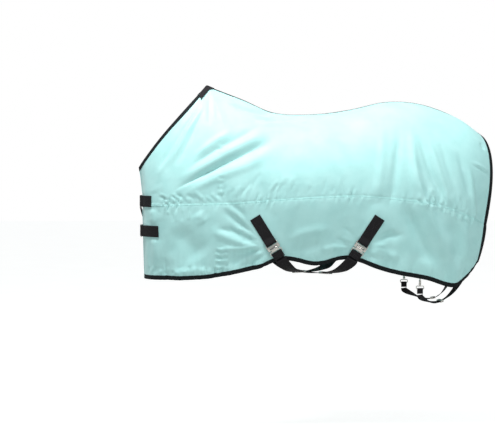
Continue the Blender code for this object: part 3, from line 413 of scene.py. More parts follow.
class Drape:
    """One side of the cloth: a fine grid of points on its underside, with normals."""

    def __init__(self, side, fold_depth, pucker_depth, frames):
        self.side = side
        self.stations = np.linspace(0, REAR, COLUMNS + 1)
        self.drops = np.concatenate([
            np.linspace(0, SEAM_AT, UPPER_ROWS + 1), np.linspace(SEAM_AT, 1, LOWER_ROWS + 1)[1:],
        ])
        s, d = np.meshgrid(self.stations, self.drops, indexing="ij")
        base = outline(s, d)
        self.x, self.z = base[..., 0].copy(), base[..., 2].copy()
        self.fall = self.lengths(base, 1)
        self.run = self.lengths(base, 0)
        self.calm = self.calm_share()
        heights = self.heights(fold_depth, pucker_depth)
        points = base + grid_normals(base) * heights[..., None]
        points = points + self.settling(points, frames)
        self.set_points(points)

    @staticmethod
    def lengths(points, axis):
        steps = np.linalg.norm(np.diff(points, axis=axis), axis=-1)
        start = np.zeros_like(np.take(steps, [0], axis=axis))
        return np.concatenate([start, np.cumsum(steps, axis=axis)], axis=axis)

    def set_points(self, points):
        """Points of the near side's handedness; the off side is their mirror image."""
        normals = grid_normals(points)
        if self.side > 0:
            points = points * (1, -1, 1)
            normals = normals * (1, -1, 1)
        self.points, self.normals = points, normals

    def heights(self, fold_depth, pucker_depth):
        x, z, side = self.x, self.z, self.side
        folds = NEAR_FOLDS if side < 0 else OFF_FOLDS
        height = fold_heights(x, z, folds, fold_depth)
        place = self.run[:, UPPER_ROWS][:, None] + np.zeros_like(x)
        off_seam = self.fall - self.fall[:, UPPER_ROWS][:, None]
        seed = 11 if side < 0 else 41
        strength = 0.35 + 0.65 * ease(wander(place, seed, 3, 3.0), -0.2, 0.9)
        strength = strength * (1 + 0.9 * ease(place, 1.15, 1.30) + 0.6 * ease(0.36 - place, 0, 0.12))
        gathers = wander(place + 0.25 * off_seam, seed + 1, 4, 31.0)
        near_seam = np.exp(-((off_seam / SEAM_REACH) ** 2)) * ease(np.abs(off_seam), 0.0, 0.010)
        height += pucker_depth * SEAM_PUCKER * strength * gathers * near_seam
        height -= SEAM_GROOVE * np.exp(-((off_seam / GROOVE_REACH) ** 2))
        height += fold_heights(x, z, crease_folds(NEAR_CREASES if side < 0 else OFF_CREASES), pucker_depth)
        from_hem = self.fall[:, -1:] - self.fall
        hem_place = self.run[:, -1][:, None] + np.zeros_like(x)
        waves = wander(hem_place, seed + 2, 4, 4.5) + 0.35 * wander(hem_place, seed + 3, 3, 21.0)
        height += HEM_WAVE * waves * np.exp(-((from_hem / HEM_REACH) ** 2)) * fold_depth
        tight = np.exp(-((from_hem / HEM_TIGHT) ** 2))
        height += HEM_PUCKER * pucker_depth * wander(hem_place, seed + 4, 4, 34.0) * tight
        along = np.exp(-(((x - DART_X) / DART_REACH) ** 2))
        shown = ease(-z, 0.56, 0.60) * ease(0.70 + z, 0.0, 0.03)
        for level in DART_SPOTS:
            shown = shown + 0.8 * np.exp(-(((z - level) / 0.020) ** 2))
        height += DART_PUCKER * pucker_depth * shown * along * np.sin(2 * np.pi * z / DART_PITCH)
        height += SLACK * fold_depth * wander(x * 0.9 + z * 0.35, seed + 5, 4, 2.1)
        return height * self.calm

    def calm_share(self):
        """1 where the cloth is free to fold, down to 0 where a strap, tape or clip holds it flat."""
        x, z = self.x, self.z
        calm = np.ones_like(x)
        for line in CALM_LINES:
            away, _ = path_distance(x, z, line)
            calm = np.minimum(calm, ease(away, *LINE_CALM))
        strapped = np.minimum(np.abs(z - UPPER_CHEST), np.abs(z - LOWER_CHEST))
        front = ease(self.run, *EDGE_CALM)
        calm = calm * np.maximum(front, EDGE_SHARE * ease(strapped, *STRAP_CALM))
        calm = calm * np.maximum(ease(self.run, *STAY_END), ease(strapped, *STAY_CALM))
        clip_away = np.hypot(x - LEG_CLIP[0], z - LEG_CLIP[1])
        calm = calm * ease(clip_away, *CLIP_CALM)
        ridge = np.where(self.stations[:, None] < WITHER - 0.6, *SPINE_CALM)
        calm = calm * ease(self.fall, 0.0, 0.012 + ridge)
        rear = self.run[-1:] - self.run
        calm = calm * (EDGE_SHARE + (1 - EDGE_SHARE) * ease(rear, 0.0, REAR_CALM))
        return calm

    def settling(self, points, frames):
        """How far each point moves when the cloth settles on the body under its own weight."""
        columns = np.linspace(0, len(self.stations) - 1, SIM_COLUMNS + 1)
        rows = np.concatenate([
            np.linspace(0, UPPER_ROWS, SIM_UPPER + 1),
            np.linspace(UPPER_ROWS, UPPER_ROWS + LOWER_ROWS, SIM_LOWER + 1)[1:],
        ])
        start = resized(points, columns, rows)
        held = 1 - np.clip(resized(self.calm[..., None], columns, rows)[..., 0], 0, 1)
        held[:, SIM_UPPER] = np.maximum(held[:, SIM_UPPER], 0.5)
        held[:, [0, -1]] = 1.0
        held[[0, -1], :] = 1.0
        body = start - grid_normals(start) * BODY_GAP
        end = settled_cloth(start, body, held, frames)
        out = grid_normals(start)
        rise = np.sum((end - start) * out, axis=-1)
        for _ in range(SETTLING_SMOOTH):
            rise[1:-1, 1:-1] = (
                rise[1:-1, 1:-1] + (rise[:-2, 1:-1] + rise[2:, 1:-1] + rise[1:-1, :-2] + rise[1:-1, 2:]) / 4
            ) / 2
        taut = 1 - 0.85 * ease(start[..., 2], -0.36, -0.12)
        rise = MOST_SETTLING * taut * np.tanh(rise / MOST_SETTLING)
        fine = resized(
            rise[..., None], np.linspace(0, SIM_COLUMNS, points.shape[0]),
            np.concatenate([
                np.linspace(0, SIM_UPPER, UPPER_ROWS + 1),
                np.linspace(SIM_UPPER, SIM_UPPER + SIM_LOWER, LOWER_ROWS + 1)[1:],
            ]),
        )
        return grid_normals(points) * fine * self.calm[..., None]

    def at(self, station, drop, lift=0.0):
        """(points, normals) at these places, raised by lift above the cloth's underside."""
        station, drop, lift = np.broadcast_arrays(*(np.asarray(v, float) for v in (station, drop, lift)))
        u = np.interp(station, self.stations, np.arange(len(self.stations)))
        v = np.interp(drop, self.drops, np.arange(len(self.drops)))
        i = np.clip(u.astype(int), 0, len(self.stations) - 2)
        j = np.clip(v.astype(int), 0, len(self.drops) - 2)
        a, b = (u - i)[..., None], (v - j)[..., None]

        def mix(values):
            return (
                (1 - a) * (1 - b) * values[i, j] + a * (1 - b) * values[i + 1, j]
                + (1 - a) * b * values[i, j + 1] + a * b * values[i + 1, j + 1]
            )

        normals = unit(mix(self.normals))
        return mix(self.points) + normals * lift[..., None], normals

    def read(self, station, drop, values):
        """A plain value of the grid at the point nearest to each of these places."""
        i = np.rint(np.interp(station, self.stations, np.arange(len(self.stations)))).astype(int)
        j = np.rint(np.interp(drop, self.drops, np.arange(len(self.drops)))).astype(int)
        return values[i, j]

    def column(self, station, values):
        place = float(np.interp(station, self.stations, np.arange(len(self.stations))))
        i = min(int(place), len(self.stations) - 2)
        return values[i] + (values[i + 1] - values[i]) * (place - i)

    def drop_from_top(self, station, distance):
        return float(np.interp(distance, self.column(station, self.fall), self.drops))

    def drop_from_hem(self, station, distance):
        column = self.column(station, self.fall)
        return float(np.interp(column[-1] - distance, column, self.drops))

    def station_from_rear(self, drop, distance):
        j = int(np.clip(np.searchsorted(self.drops, drop), 0, len(self.drops) - 1))
        row = self.run[:, j]
        return float(np.interp(row[-1] - distance, row, self.stations))

    def at_level(self, station, level, lift):
        """(point, normal) where a station's line passes this height."""
        column = self.column(station, self.z)
        drop = float(np.interp(-level, -column, self.drops))
        return self.at(station, drop, lift)

    def on_skirt(self, x, z, lift):
        """(point, normal) on the skirt below the flank seam, by its X and Z."""
        gx, gz = self.x[:, UPPER_ROWS:], self.z[:, UPPER_ROWS:]
        away = (gx - x) ** 2 + (gz - z) ** 2
        i, j = np.unravel_index(np.argmin(away), away.shape)
        i, j = min(i, gx.shape[0] - 2), min(j, gx.shape[1] - 2)
        across = np.array((gx[i + 1, j] - gx[i, j], gz[i + 1, j] - gz[i, j]))
        down = np.array((gx[i, j + 1] - gx[i, j], gz[i, j + 1] - gz[i, j]))
        step = np.linalg.solve(np.stack([across, down], axis=1), (x - gx[i, j], z - gz[i, j]))
        station = self.stations[i] + step[0] * (self.stations[1] - self.stations[0])
        drop = self.drops[UPPER_ROWS + j] + step[1] * (self.drops[-1] - self.drops[-2])
        return self.at(station, min(drop, 1.0), lift)


DRAPES = {}


def drape(side):
    """The cloth of one side, made once and shared by everything that lies on it."""
    if side not in DRAPES:
        settings = bpy.context.scene.horse_sheet
        DRAPES[side] = Drape(side, settings.fold_depth, settings.pucker_depth, settings.drape_frames)
    return DRAPES[side]


# ---- Meshes --------------------------------------------------------------------------------
def new_object(name, points, faces, material, uv=None, smooth_angle=40):
    mesh = bpy.data.meshes.new(name)
    mesh.from_pydata([tuple(p) for p in np.asarray(points, float).reshape(-1, 3)], [], faces)
    if uv is not None:
        layer = mesh.uv_layers.new(name="Cloth")
        index = np.empty(len(mesh.loops), int)
        mesh.loops.foreach_get("vertex_index", index)
        layer.data.foreach_set("uv", np.asarray(uv, np.float32).reshape(-1, 2)[index].ravel())
    work = bmesh.new()
    work.from_mesh(mesh)
    bmesh.ops.recalc_face_normals(work, faces=work.faces)
    work.to_mesh(mesh)
    work.free()
    mesh.polygons.foreach_set("use_smooth", [True] * len(mesh.polygons))
    mesh.set_sharp_from_angle(angle=math.radians(smooth_angle))
    mesh.materials.append(material)
    obj = bpy.data.objects.new(name, mesh)
    bpy.context.scene.collection.objects.link(obj)
    return obj


def grid_faces(rows, columns, first=0, wrap=False):
    faces = []
    for i in range(rows - 1):
        for j in range(columns if wrap else columns - 1):
            k = (j + 1) % columns
            a, b = first + i * columns, first + (i + 1) * columns
            faces.append((a + j, b + j, b + k, a + k))
    return faces


def shell(name, low, high, material, uv=None):
    """A closed slab between two grids of points."""
    rows, columns = low.shape[:2]
    count = rows * columns
    faces = grid_faces(rows, columns) + [f[::-1] for f in grid_faces(rows, columns, count)]
    border = [(i, 0) for i in range(rows)] + [(rows - 1, j) for j in range(1, columns)]
    border += [(i, columns - 1) for i in range(rows - 2, -1, -1)]
    border += [(0, j) for j in range(columns - 2, 0, -1)]
    ring = [i * columns + j for i, j in border]
    for a, b in zip(ring, ring[1:] + ring[:1]):
        faces.append((a, b, count + b, count + a))
    both = None if uv is None else np.concatenate([uv.reshape(-1, 2)] * 2)
    return new_object(name, np.concatenate([low.reshape(-1, 3), high.reshape(-1, 3)]), faces, material, both)


def gone_along(line):
    """How far along a line of points each point is."""
    return np.concatenate([[0], np.cumsum(np.linalg.norm(np.diff(line, axis=0), axis=1))])


def section_uv(places, gone):
    """UVs in metres: places across a section, by the way gone along it."""
    u = places[None, :] + np.zeros((len(gone), 1))
    return np.stack([u, gone[:, None] + np.zeros_like(u)], axis=-1)


def loft(name, rings, material, uv=None, smooth_angle=40):
    """A closed tube through rings of points, with flat ends."""
    rings = np.asarray(rings, float)
    rows, columns = rings.shape[:2]
    faces = grid_faces(rows, columns, 0, True)
    faces.append(tuple(range(columns)))
    faces.append(tuple(range((rows - 1) * columns, rows * columns)))
    return new_object(name, rings, faces, material, uv, smooth_angle)


def cut_corners(values, times=2):
    """Rounds a line of points by cutting its corners; the two ends stay."""
    values = np.asarray(values, float)
    for _ in range(times):
        near = values[:-1] * 0.75 + values[1:] * 0.25
        far = values[:-1] * 0.25 + values[1:] * 0.75
        inner = np.stack([near, far], axis=1).reshape(-1, values.shape[1])[1:-1]
        values = np.concatenate([values[:1], inner, values[-1:]])
    return values


WEB_PLACES = (-0.5, -0.485, -0.44, -0.30, -0.10, 0.10, 0.30, 0.44, 0.485, 0.5)
WEB_HEIGHTS = (0.25, 0.8, 1.0, 0.97, 0.95, 0.95, 0.97, 1.0, 0.8, 0.25)


def webbing(name, path, across, width):
    """Woven strap: a rounded flat section carried along a path. UVs are metres across and along."""
    thick = bpy.context.scene.horse_sheet.webbing_thickness
    path, across = np.asarray(path, float), unit(np.asarray(across, float))
    forward = unit(np.gradient(path, axis=0))
    up = unit(np.cross(forward, across))
    places, heights = np.array(WEB_PLACES) * width, np.array(WEB_HEIGHTS) * thick / 2
    top = path[:, None] + across[:, None] * places[None, :, None] + up[:, None] * heights[None, :, None]
    low = path[:, None] + across[:, None] * places[None, :, None] - up[:, None] * heights[None, :, None]
    rings = np.concatenate([top, low[:, ::-1]], axis=1)
    uv = section_uv(np.concatenate([places, places[::-1]]), gone_along(path))
    obj = loft(name, rings, get_material("webbing"), uv, 50)
    return obj


def across_path(path, normals, start):
    """The strap's width direction at each point, square to the normal and kept on one side."""
    path, normals = np.asarray(path, float), np.asarray(normals, float)
    wide = unit(np.cross(normals, np.gradient(path, axis=0)))
    for i in range(len(wide)):
        if wide[i] @ start < 0:
            wide[i] = -wide[i]
        start = wide[i]
    return wide


def smooth_route(route, between):
    points = np.array([point for point, _ in route], float)
    normals = np.array([normal for _, normal in route], float)
    places = np.arange((len(route) - 1) * between + 1) / between
    return spline(points, places), unit(spline(normals, places))


# ---- Materials -----------------------------------------------------------------------------
def colour(text):
    """Linear RGBA from an sRGB hex colour."""
    values = [int(text[i: i + 2], 16) / 255 for i in (1, 3, 5)]
    return tuple(v / 12.92 if v <= 0.04045 else ((v + 0.055) / 1.055) ** 2.4 for v in values) + (1.0,)


def add_node(tree, kind, settings=None, inputs=None, links=None, stops=()):
    """Adds a node with its settings, socket values, links from other outputs, and colour stops."""
    node = tree.nodes.new(kind)
    for key, value in (settings or {}).items():
        setattr(node, key, value)
    for key, value in (inputs or {}).items():
        node.inputs[key].default_value = value
    for key, source in (links or {}).items():
        tree.links.new(source, node.inputs[key])
    for number, (level, tint) in enumerate(stops):
        node.color_ramp.elements[number].position = level
        node.color_ramp.elements[number].color = colour(tint)
    return node


def blank_material(name):
    material = bpy.data.materials.new(name)
    material.use_nodes = True
    material.node_tree.nodes.clear()
    return material, material.node_tree


def finish_material(tree, inputs, links):
    shader = add_node(tree, "ShaderNodeBsdfPrincipled", inputs=inputs, links=links)
    add_node(tree, "ShaderNodeOutputMaterial", links={"Surface": shader.outputs["BSDF"]})


def bands(spacing):
    """Scale of a wave texture whose bands are this many millimetres apart."""
    return math.pi / (10 * spacing / 1000)


def clouds(size):
    """Scale of a noise texture whose blotches are about this many millimetres wide."""
    return 1000 / size


def cloth_material():
    """Light plain-weave polyester with a faint satin sheen."""
    # Its threads lie about half a millimetre apart, too fine to show, so they are drawn coarser.
    material, tree = blank_material("Mint plain-weave polyester")
    place = add_node(tree, "ShaderNodeTexCoord").outputs["Object"]
    centred = add_node(
        tree, "ShaderNodeMapping", inputs={"Location": (0.0, 0.0, 0.4)}, links={"Vector": place},
    ).outputs["Vector"]
    soft = add_node(
        tree, "ShaderNodeTexNoise", inputs={"Scale": clouds(62.5), "Detail": 3.0}, links={"Vector": centred},
    )
    crumple = add_node(
        tree, "ShaderNodeTexNoise", inputs={"Scale": clouds(18.18), "Detail": 4.0, "Roughness": 0.55},
        links={"Vector": centred},
    )
    warp = add_node(
        tree, "ShaderNodeTexWave", {"wave_type": "BANDS", "bands_direction": "X"},
        {"Scale": bands(0.924), "Distortion": 1.5, "Detail": 1.0}, {"Vector": centred},
    )
    weft = add_node(
        tree, "ShaderNodeTexWave", {"wave_type": "BANDS", "bands_direction": "Z"},
        {"Scale": bands(0.924), "Distortion": 1.5, "Detail": 1.0}, {"Vector": centred},
    )
    weave = add_node(
        tree, "ShaderNodeMath", {"operation": "MULTIPLY"},
        links={0: warp.outputs["Fac"], 1: weft.outputs["Fac"]},
    )
    low_bump = add_node(
        tree, "ShaderNodeBump", inputs={"Strength": 0.25, "Distance": 0.0016},
        links={"Height": crumple.outputs["Fac"]},
    )
    bump = add_node(
        tree, "ShaderNodeBump", inputs={"Strength": 0.12, "Distance": 0.0003},
        links={"Height": weave.outputs["Value"], "Normal": low_bump.outputs["Normal"]},
    )
    base = add_node(
        tree, "ShaderNodeValToRGB", links={"Fac": soft.outputs["Fac"]},
        stops=((0.25, CLOTH_DARK), (0.75, CLOTH_LIGHT)),
    ).outputs["Color"]
    finish_material(tree, {
        "Roughness": 0.52, "Specular IOR Level": 0.35, "Sheen Weight": 0.18, "Sheen Roughness": 0.45,
    }, {"Base Color": base, "Normal": bump.outputs["Normal"]})
    return material


CLOTH_DARK = "#A6DAD8"
CLOTH_LIGHT = "#B2E3E1"


def tape_material():
    """Ribbed woven edge tape, near black with a green cast."""
    # Its ribs are under a millimetre apart, too fine to show, so they are drawn coarser.
    material, tree = blank_material("Black ribbed binding tape")
    place = add_node(tree, "ShaderNodeTexCoord").outputs["UV"]
    ribs = add_node(
        tree, "ShaderNodeTexWave", {"wave_type": "BANDS", "bands_direction": "Y"},
        {"Scale": bands(1.745), "Distortion": 0.6}, {"Vector": place},
    )
    bump = add_node(
        tree, "ShaderNodeBump", inputs={"Strength": 0.35, "Distance": 0.0004},
        links={"Height": ribs.outputs["Fac"]},
    )
    # The colour follows the ribs' height: the hollows between ribs are painted darker than their crests,
    # painted shade in the hollows.
    base = add_node(
        tree, "ShaderNodeValToRGB", links={"Fac": ribs.outputs["Fac"]},
        stops=((0.2, "#060C0E"), (0.9, "#0C1619")),
    ).outputs["Color"]
    finish_material(tree, {"Roughness": 0.8, "Specular IOR Level": 0.25}, {
        "Base Color": base, "Normal": bump.outputs["Normal"],
    })
    return material


def webbing_material():
    """Polypropylene webbing: a twill of small ribs across the strap."""
    # Real ribs lie about 1.5 mm apart and are drawn a little coarser, so that they show.
    material, tree = blank_material("Black twill webbing")
    place = add_node(tree, "ShaderNodeTexCoord").outputs["UV"]
    turned = add_node(
        tree, "ShaderNodeMapping", inputs={"Rotation": (0, 0, math.radians(55))}, links={"Vector": place},
    ).outputs["Vector"]
    twill = add_node(
        tree, "ShaderNodeTexWave", {"wave_type": "BANDS", "bands_direction": "X"},
        {"Scale": bands(2.094), "Distortion": 0.8, "Detail": 1.0}, {"Vector": turned},
    )
    ribs = add_node(
        tree, "ShaderNodeTexWave", {"wave_type": "BANDS", "bands_direction": "Y"},
        {"Scale": bands(2.417), "Distortion": 0.3}, {"Vector": place},
    )
    weave = add_node(
        tree, "ShaderNodeMath", {"operation": "ADD"},
        links={0: twill.outputs["Fac"], 1: ribs.outputs["Fac"]},
    )
    bump = add_node(
        tree, "ShaderNodeBump", inputs={"Strength": 0.5, "Distance": 0.0005},
        links={"Height": weave.outputs["Value"]},
    )
    # The colour follows the weave's height: its hollows are painted darker than its raised ribs, painted
    # shade in the hollows.
    base = add_node(
        tree, "ShaderNodeValToRGB", links={"Fac": weave.outputs["Value"]},
        stops=((0.3, "#0C0B0D"), (1.0, "#1A181B")),
    ).outputs["Color"]
    finish_material(tree, {"Roughness": 0.8, "Specular IOR Level": 0.25}, {
        "Base Color": base, "Normal": bump.outputs["Normal"],
    })
    return material


def nickel_material():
    """Nickel-plated stamped steel, slightly handled."""
    material, tree = blank_material("Nickel-plated steel")
    place = add_node(tree, "ShaderNodeTexCoord").outputs["Object"]
    smear = add_node(
        tree, "ShaderNodeTexNoise", inputs={"Scale": clouds(4.167), "Detail": 4.0}, links={"Vector": place},
    )
    rough = add_node(
        tree, "ShaderNodeMapRange", inputs={"To Min": 0.14, "To Max": 0.34},
        links={"Value": smear.outputs["Fac"]},
    )
    base = add_node(
        tree, "ShaderNodeValToRGB", links={"Fac": smear.outputs["Fac"]},
        stops=((0.3, "#B9B7B1"), (0.7, "#DAD8D3")),
    ).outputs["Color"]
    finish_material(tree, {"Metallic": 1.0}, {"Base Color": base, "Roughness": rough.outputs["Result"]})
    return material


def thread_material(name, tint):
    """Twisted polyester sewing thread, a fine matt line."""
    material, tree = blank_material(name)
    place = add_node(tree, "ShaderNodeTexCoord").outputs["Object"]
    twist = add_node(
        tree, "ShaderNodeTexNoise", inputs={"Scale": clouds(1.111), "Detail": 2.0}, links={"Vector": place},
    )
    bump = add_node(
        tree, "ShaderNodeBump", inputs={"Strength": 0.3, "Distance": 0.0002},
        links={"Height": twist.outputs["Fac"]},
    )
    finish_material(
        tree, {"Base Color": colour(tint), "Roughness": 0.6}, {"Normal": bump.outputs["Normal"]},
    )
    return material


FLOOR_GLOW = 0.72        # the floor is lit from below, as a light table is


def floor_material():
    """Matt pale studio paper on a light table. Only its grey paper throws light on the sheet."""
    material, tree = blank_material("Pale studio floor")
    place = add_node(tree, "ShaderNodeTexCoord").outputs["Object"]
    grain = add_node(
        tree, "ShaderNodeTexNoise", inputs={"Scale": clouds(333.3), "Detail": 3.0}, links={"Vector": place},
    )
    base = add_node(
        tree, "ShaderNodeValToRGB", links={"Fac": grain.outputs["Fac"]},
        stops=((0.3, "#C2C2BF"), (0.7, "#C8C8C5")),
    ).outputs["Color"]
    paper = add_node(tree, "ShaderNodeBsdfDiffuse", links={"Color": base})
    glow = add_node(tree, "ShaderNodeEmission", inputs={"Strength": FLOOR_GLOW})
    lit = add_node(
        tree, "ShaderNodeAddShader", links={0: paper.outputs["BSDF"], 1: glow.outputs["Emission"]},
    )
    seen = add_node(tree, "ShaderNodeLightPath").outputs["Is Camera Ray"]
    mixed = add_node(tree, "ShaderNodeMixShader", links={
        0: seen, 1: paper.outputs["BSDF"], 2: lit.outputs["Shader"],
    })
    add_node(tree, "ShaderNodeOutputMaterial", links={"Surface": mixed.outputs["Shader"]})
    return material


MATERIAL_MAKERS = {
    "cloth": cloth_material,
    "tape": tape_material,
    "webbing": webbing_material,
    "nickel": nickel_material,
    "mint_thread": lambda: thread_material("Mint sewing thread", "#8FD8D2"),
    "black_thread": lambda: thread_material("Black sewing thread", "#26262A"),
    "floor": floor_material,
}
MATERIALS = {}


def get_material(key):
    if key not in MATERIALS:
        MATERIALS[key] = MATERIAL_MAKERS[key]()
    return MATERIALS[key]


# ---- Rows of stitches, with Geometry Nodes ---------------------------------------------------
def stitch_tree():
    """A group that lays one thread stitch on each point, along and out by its attributes."""
    found = bpy.data.node_groups.get("Stitch Row")
    if found:
        return found
    tree = bpy.data.node_groups.new("Stitch Row", "GeometryNodeTree")
    face = tree.interface
    face.new_socket("Geometry", in_out="INPUT", socket_type="NodeSocketGeometry")
    for label, start in (("Stitch Length", 0.0036), ("Thread Width", 0.0009)):
        face.new_socket(label, in_out="INPUT", socket_type="NodeSocketFloat").default_value = start
    face.new_socket("Thread", in_out="INPUT", socket_type="NodeSocketMaterial")
    face.new_socket("Geometry", in_out="OUTPUT", socket_type="NodeSocketGeometry")
    given = add_node(tree, "NodeGroupInput")
    along = add_node(
        tree, "GeometryNodeInputNamedAttribute", {"data_type": "FLOAT_VECTOR"}, {"Name": "along"},
    )
    out = add_node(tree, "GeometryNodeInputNamedAttribute", {"data_type": "FLOAT_VECTOR"}, {"Name": "out"})
    turn = add_node(
        tree, "FunctionNodeAlignRotationToVector", {"axis": "X"},
        links={"Vector": along.outputs["Attribute"]},
    )
    stand = add_node(
        tree, "FunctionNodeAlignRotationToVector", {"axis": "Z", "pivot_axis": "X"},
        links={"Rotation": turn.outputs["Rotation"], "Vector": out.outputs["Attribute"]},
    )
    size = add_node(tree, "ShaderNodeCombineXYZ", links={
        "X": given.outputs["Stitch Length"],
        "Y": given.outputs["Thread Width"], "Z": given.outputs["Thread Width"],
    })
    ball = add_node(tree, "GeometryNodeMeshUVSphere", inputs={"Segments": 6, "Rings": 4, "Radius": 0.5})
    smooth = add_node(tree, "GeometryNodeSetShadeSmooth", links={"Geometry": ball.outputs["Mesh"]})
    laid = add_node(tree, "GeometryNodeInstanceOnPoints", links={
        "Points": given.outputs["Geometry"], "Instance": smooth.outputs["Geometry"],
        "Rotation": stand.outputs["Rotation"], "Scale": size.outputs["Vector"],
    })
    real = add_node(tree, "GeometryNodeRealizeInstances", links={"Geometry": laid.outputs["Instances"]})
    dyed = add_node(tree, "GeometryNodeSetMaterial", links={
        "Geometry": real.outputs["Geometry"], "Material": given.outputs["Thread"],
    })
    add_node(tree, "NodeGroupOutput", links={"Geometry": dyed.outputs["Geometry"]})
    return tree


def resample(points, normals, pitch):
    """Evenly spaced (point, direction, normal) arrays along a line."""
    points, normals = np.asarray(points, float), np.asarray(normals, float)
    gone = gone_along(points)
    count = max(int(gone[-1] / pitch), 2)
    places = (np.arange(count) + 0.5) * gone[-1] / count
    at = np.stack([np.interp(places, gone, points[:, k]) for k in range(3)], axis=1)
    out = unit(np.stack([np.interp(places, gone, normals[:, k]) for k in range(3)], axis=1))
    return at, unit(np.gradient(at, axis=0)), out


def stitches(name, rows, thread, body="sheet"):
    """One mesh of stitches on the given rows, each a pair of point and normal arrays."""
    settings = bpy.context.scene.horse_sheet
    laid = [resample(points, normals, settings.stitch_pitch) for points, normals in rows]
    at, along, out = (np.concatenate(parts) for parts in zip(*laid))
    mesh = bpy.data.meshes.new(name)
    mesh.from_pydata([tuple(p) for p in at], [], [])
    for label, values in (("along", along), ("out", out)):
        layer = mesh.attributes.new(label, "FLOAT_VECTOR", "POINT")
        layer.data.foreach_set("vector", values.astype(np.float32).ravel())
    seed = bpy.data.objects.new(name + "_points", mesh)
    bpy.context.scene.collection.objects.link(seed)
    modifier = seed.modifiers.new("Stitches", "NODES")
    modifier.node_group = stitch_tree()
    given = {
        "Stitch Length": settings.stitch_length, "Thread Width": settings.thread_width,
        "Thread": get_material(thread),
    }
    for item in modifier.node_group.interface.items_tree:
        if item.in_out == "INPUT" and item.name in given:
            modifier[item.identifier] = given[item.name]
    bpy.context.view_layer.update()
    graph = bpy.context.evaluated_depsgraph_get()
    baked = bpy.data.meshes.new_from_object(seed.evaluated_get(graph), depsgraph=graph)
    baked.name = name
    bpy.data.objects.remove(seed)
    obj = bpy.data.objects.new(name, baked)
    bpy.context.scene.collection.objects.link(obj)
    if not baked.polygons:
        raise RuntimeError(f"{name} has no stitches")
    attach(obj, body)
    return obj


def box_rows(points, normals, across, width, inset):
    """Stitch rows round a strap's end: a box with a cross, from lines of points and directions."""
    points, normals, across = (np.asarray(v, float) for v in (points, normals, across))
    half = width / 2 - inset
    left, right = points - across * half, points + across * half
    share = np.linspace(-half, half, len(points))[:, None]
    sides = (left, right, points + across * share, points - across * share)
    rows = [(line, normals) for line in sides]
    for end in (0, -1):
        ends = np.linspace(left[end], right[end], 5)
        rows.append((ends, np.repeat(normals[end: end + 1] if end == 0 else normals[-1:], 5, axis=0)))
    return rows


# ---- The add-on's settings and operators --------------------------------------------------------
class HorseSheetSettings(bpy.types.PropertyGroup):
    fold_depth: bpy.props.FloatProperty(
        name="Fold Depth", description="Depth of the large soft folds, 1 as worn", default=1.0, min=0, max=3,
    )
    pucker_depth: bpy.props.FloatProperty(
        name="Pucker Depth", description="Depth of the gathers beside the seams", default=1.0, min=0, max=3,
    )
    stitch_pitch: bpy.props.FloatProperty(
        name="Stitch Pitch", description="Distance between stitches", default=0.0048, unit="LENGTH",
    )
    stitch_length: bpy.props.FloatProperty(
        name="Stitch Length", description="Length of one stitch", default=0.0036, unit="LENGTH",
    )
    thread_width: bpy.props.FloatProperty(
        name="Thread Width", description="Width of the sewing thread", default=0.0008, unit="LENGTH",
    )
    webbing_thickness: bpy.props.FloatProperty(
        name="Webbing Thickness", description="Thickness of the strap webbing", default=0.0024, unit="LENGTH",
    )
    strap_width: bpy.props.FloatProperty(
        name="Strap Width", description="Width of the chest and belly straps", default=0.050, unit="LENGTH",
    )
    leg_strap_width: bpy.props.FloatProperty(
        name="Leg Strap Width", description="Width of the leg straps", default=0.025, unit="LENGTH",
    )
    drape_frames: bpy.props.IntProperty(
        name="Drape Frames", description="Frames for which the cloth settles on the body", default=28, min=2,
    )
    top_light: bpy.props.FloatProperty(
        name="Top Light", description="Power of the overhead softbox", default=218.0, unit="POWER",
    )
    rear_light: bpy.props.FloatProperty(
        name="Rear Light", description="Power of the fill softbox beside the hindquarters", default=38.0,
        unit="POWER",
    )
    fill_light: bpy.props.FloatProperty(
        name="Fill Light", description="Strength of the pale surroundings", default=1.0,
    )


def panel_piece(side, part):
    """One cloth panel. The upper one laps over the lower one along the flank seam."""
    cloth = drape(side)
    label = f"cloth_{SIDE_NAMES[side]}_{part}"
    if part == "upper":
        lap = SEAM_AT + np.array((-0.004, 0.002, 0.006, 0.0105, 0.0115))
        drops = np.concatenate([cloth.drops[:UPPER_ROWS], lap])
    else:
        drops = np.concatenate([[SEAM_AT - 0.003], cloth.drops[UPPER_ROWS:]])
    s, d = np.meshgrid(cloth.stations, drops, indexing="ij")
    rise = np.zeros_like(d)
    if part == "upper":
        rise = LAP_RISE * ease(d, SEAM_AT - 0.010, SEAM_AT - 0.003)
    # Under the upper chest slider the two layers lie flatter, so that it can slide over them.
    place, level = cloth.read(s, d, cloth.run), cloth.read(s, d, cloth.z)
    flat = (1 - ease(place, 0.08, 0.13)) * (1 - ease(np.abs(level - UPPER_CHEST), 0.026, 0.045))
    rise = rise - LAP_RISE * flat
    start = 0.003 if part == "upper" else 0.0
    d = np.where((d < start) & (s >= WITHER), start, d)
    low, normals = cloth.at(s, d, CLOTH - FABRIC + rise)
    high = low + normals * FABRIC
    uv = np.stack([low[..., 0], low[..., 2]], axis=-1)
    obj = shell(label, low, high, get_material("cloth"), uv)
    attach(obj, "sheet")
    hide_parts(f"{SIDE_NAMES[side]}_{part}_panel")
    return obj


class HORSESHEET_OT_cloth(bpy.types.Operator):
    """Builds the four cloth panels in their draped shape"""
    bl_idname = "horse_sheet.cloth"
    bl_label = "Cloth Panels"

    def execute(self, context):
        for side in (NEAR, OFF):
            for part in ("upper", "lower"):
                panel_piece(side, part)
        return {"FINISHED"}


TAPE = 0.0009            # thickness of the edge tape
TAPE_CLEAR = 0.0003
TAPE_WIDTH = 0.018
TAPE_PLACES = (0, 0.5, 1, 1.05, 1.1, 1.15, 1.2, 1.7, 2.2)    # across it, in widths, round the fold
SPINE_HALF = 0.012
SPINE_SHARES = (-1.0, -0.55, -0.15, 0.15, 0.55, 1.0)
PATCH_DEPTH = 0.036
PATCH_LIFT = CLOTH + 0.0026
PATCH_THICK = 0.0022


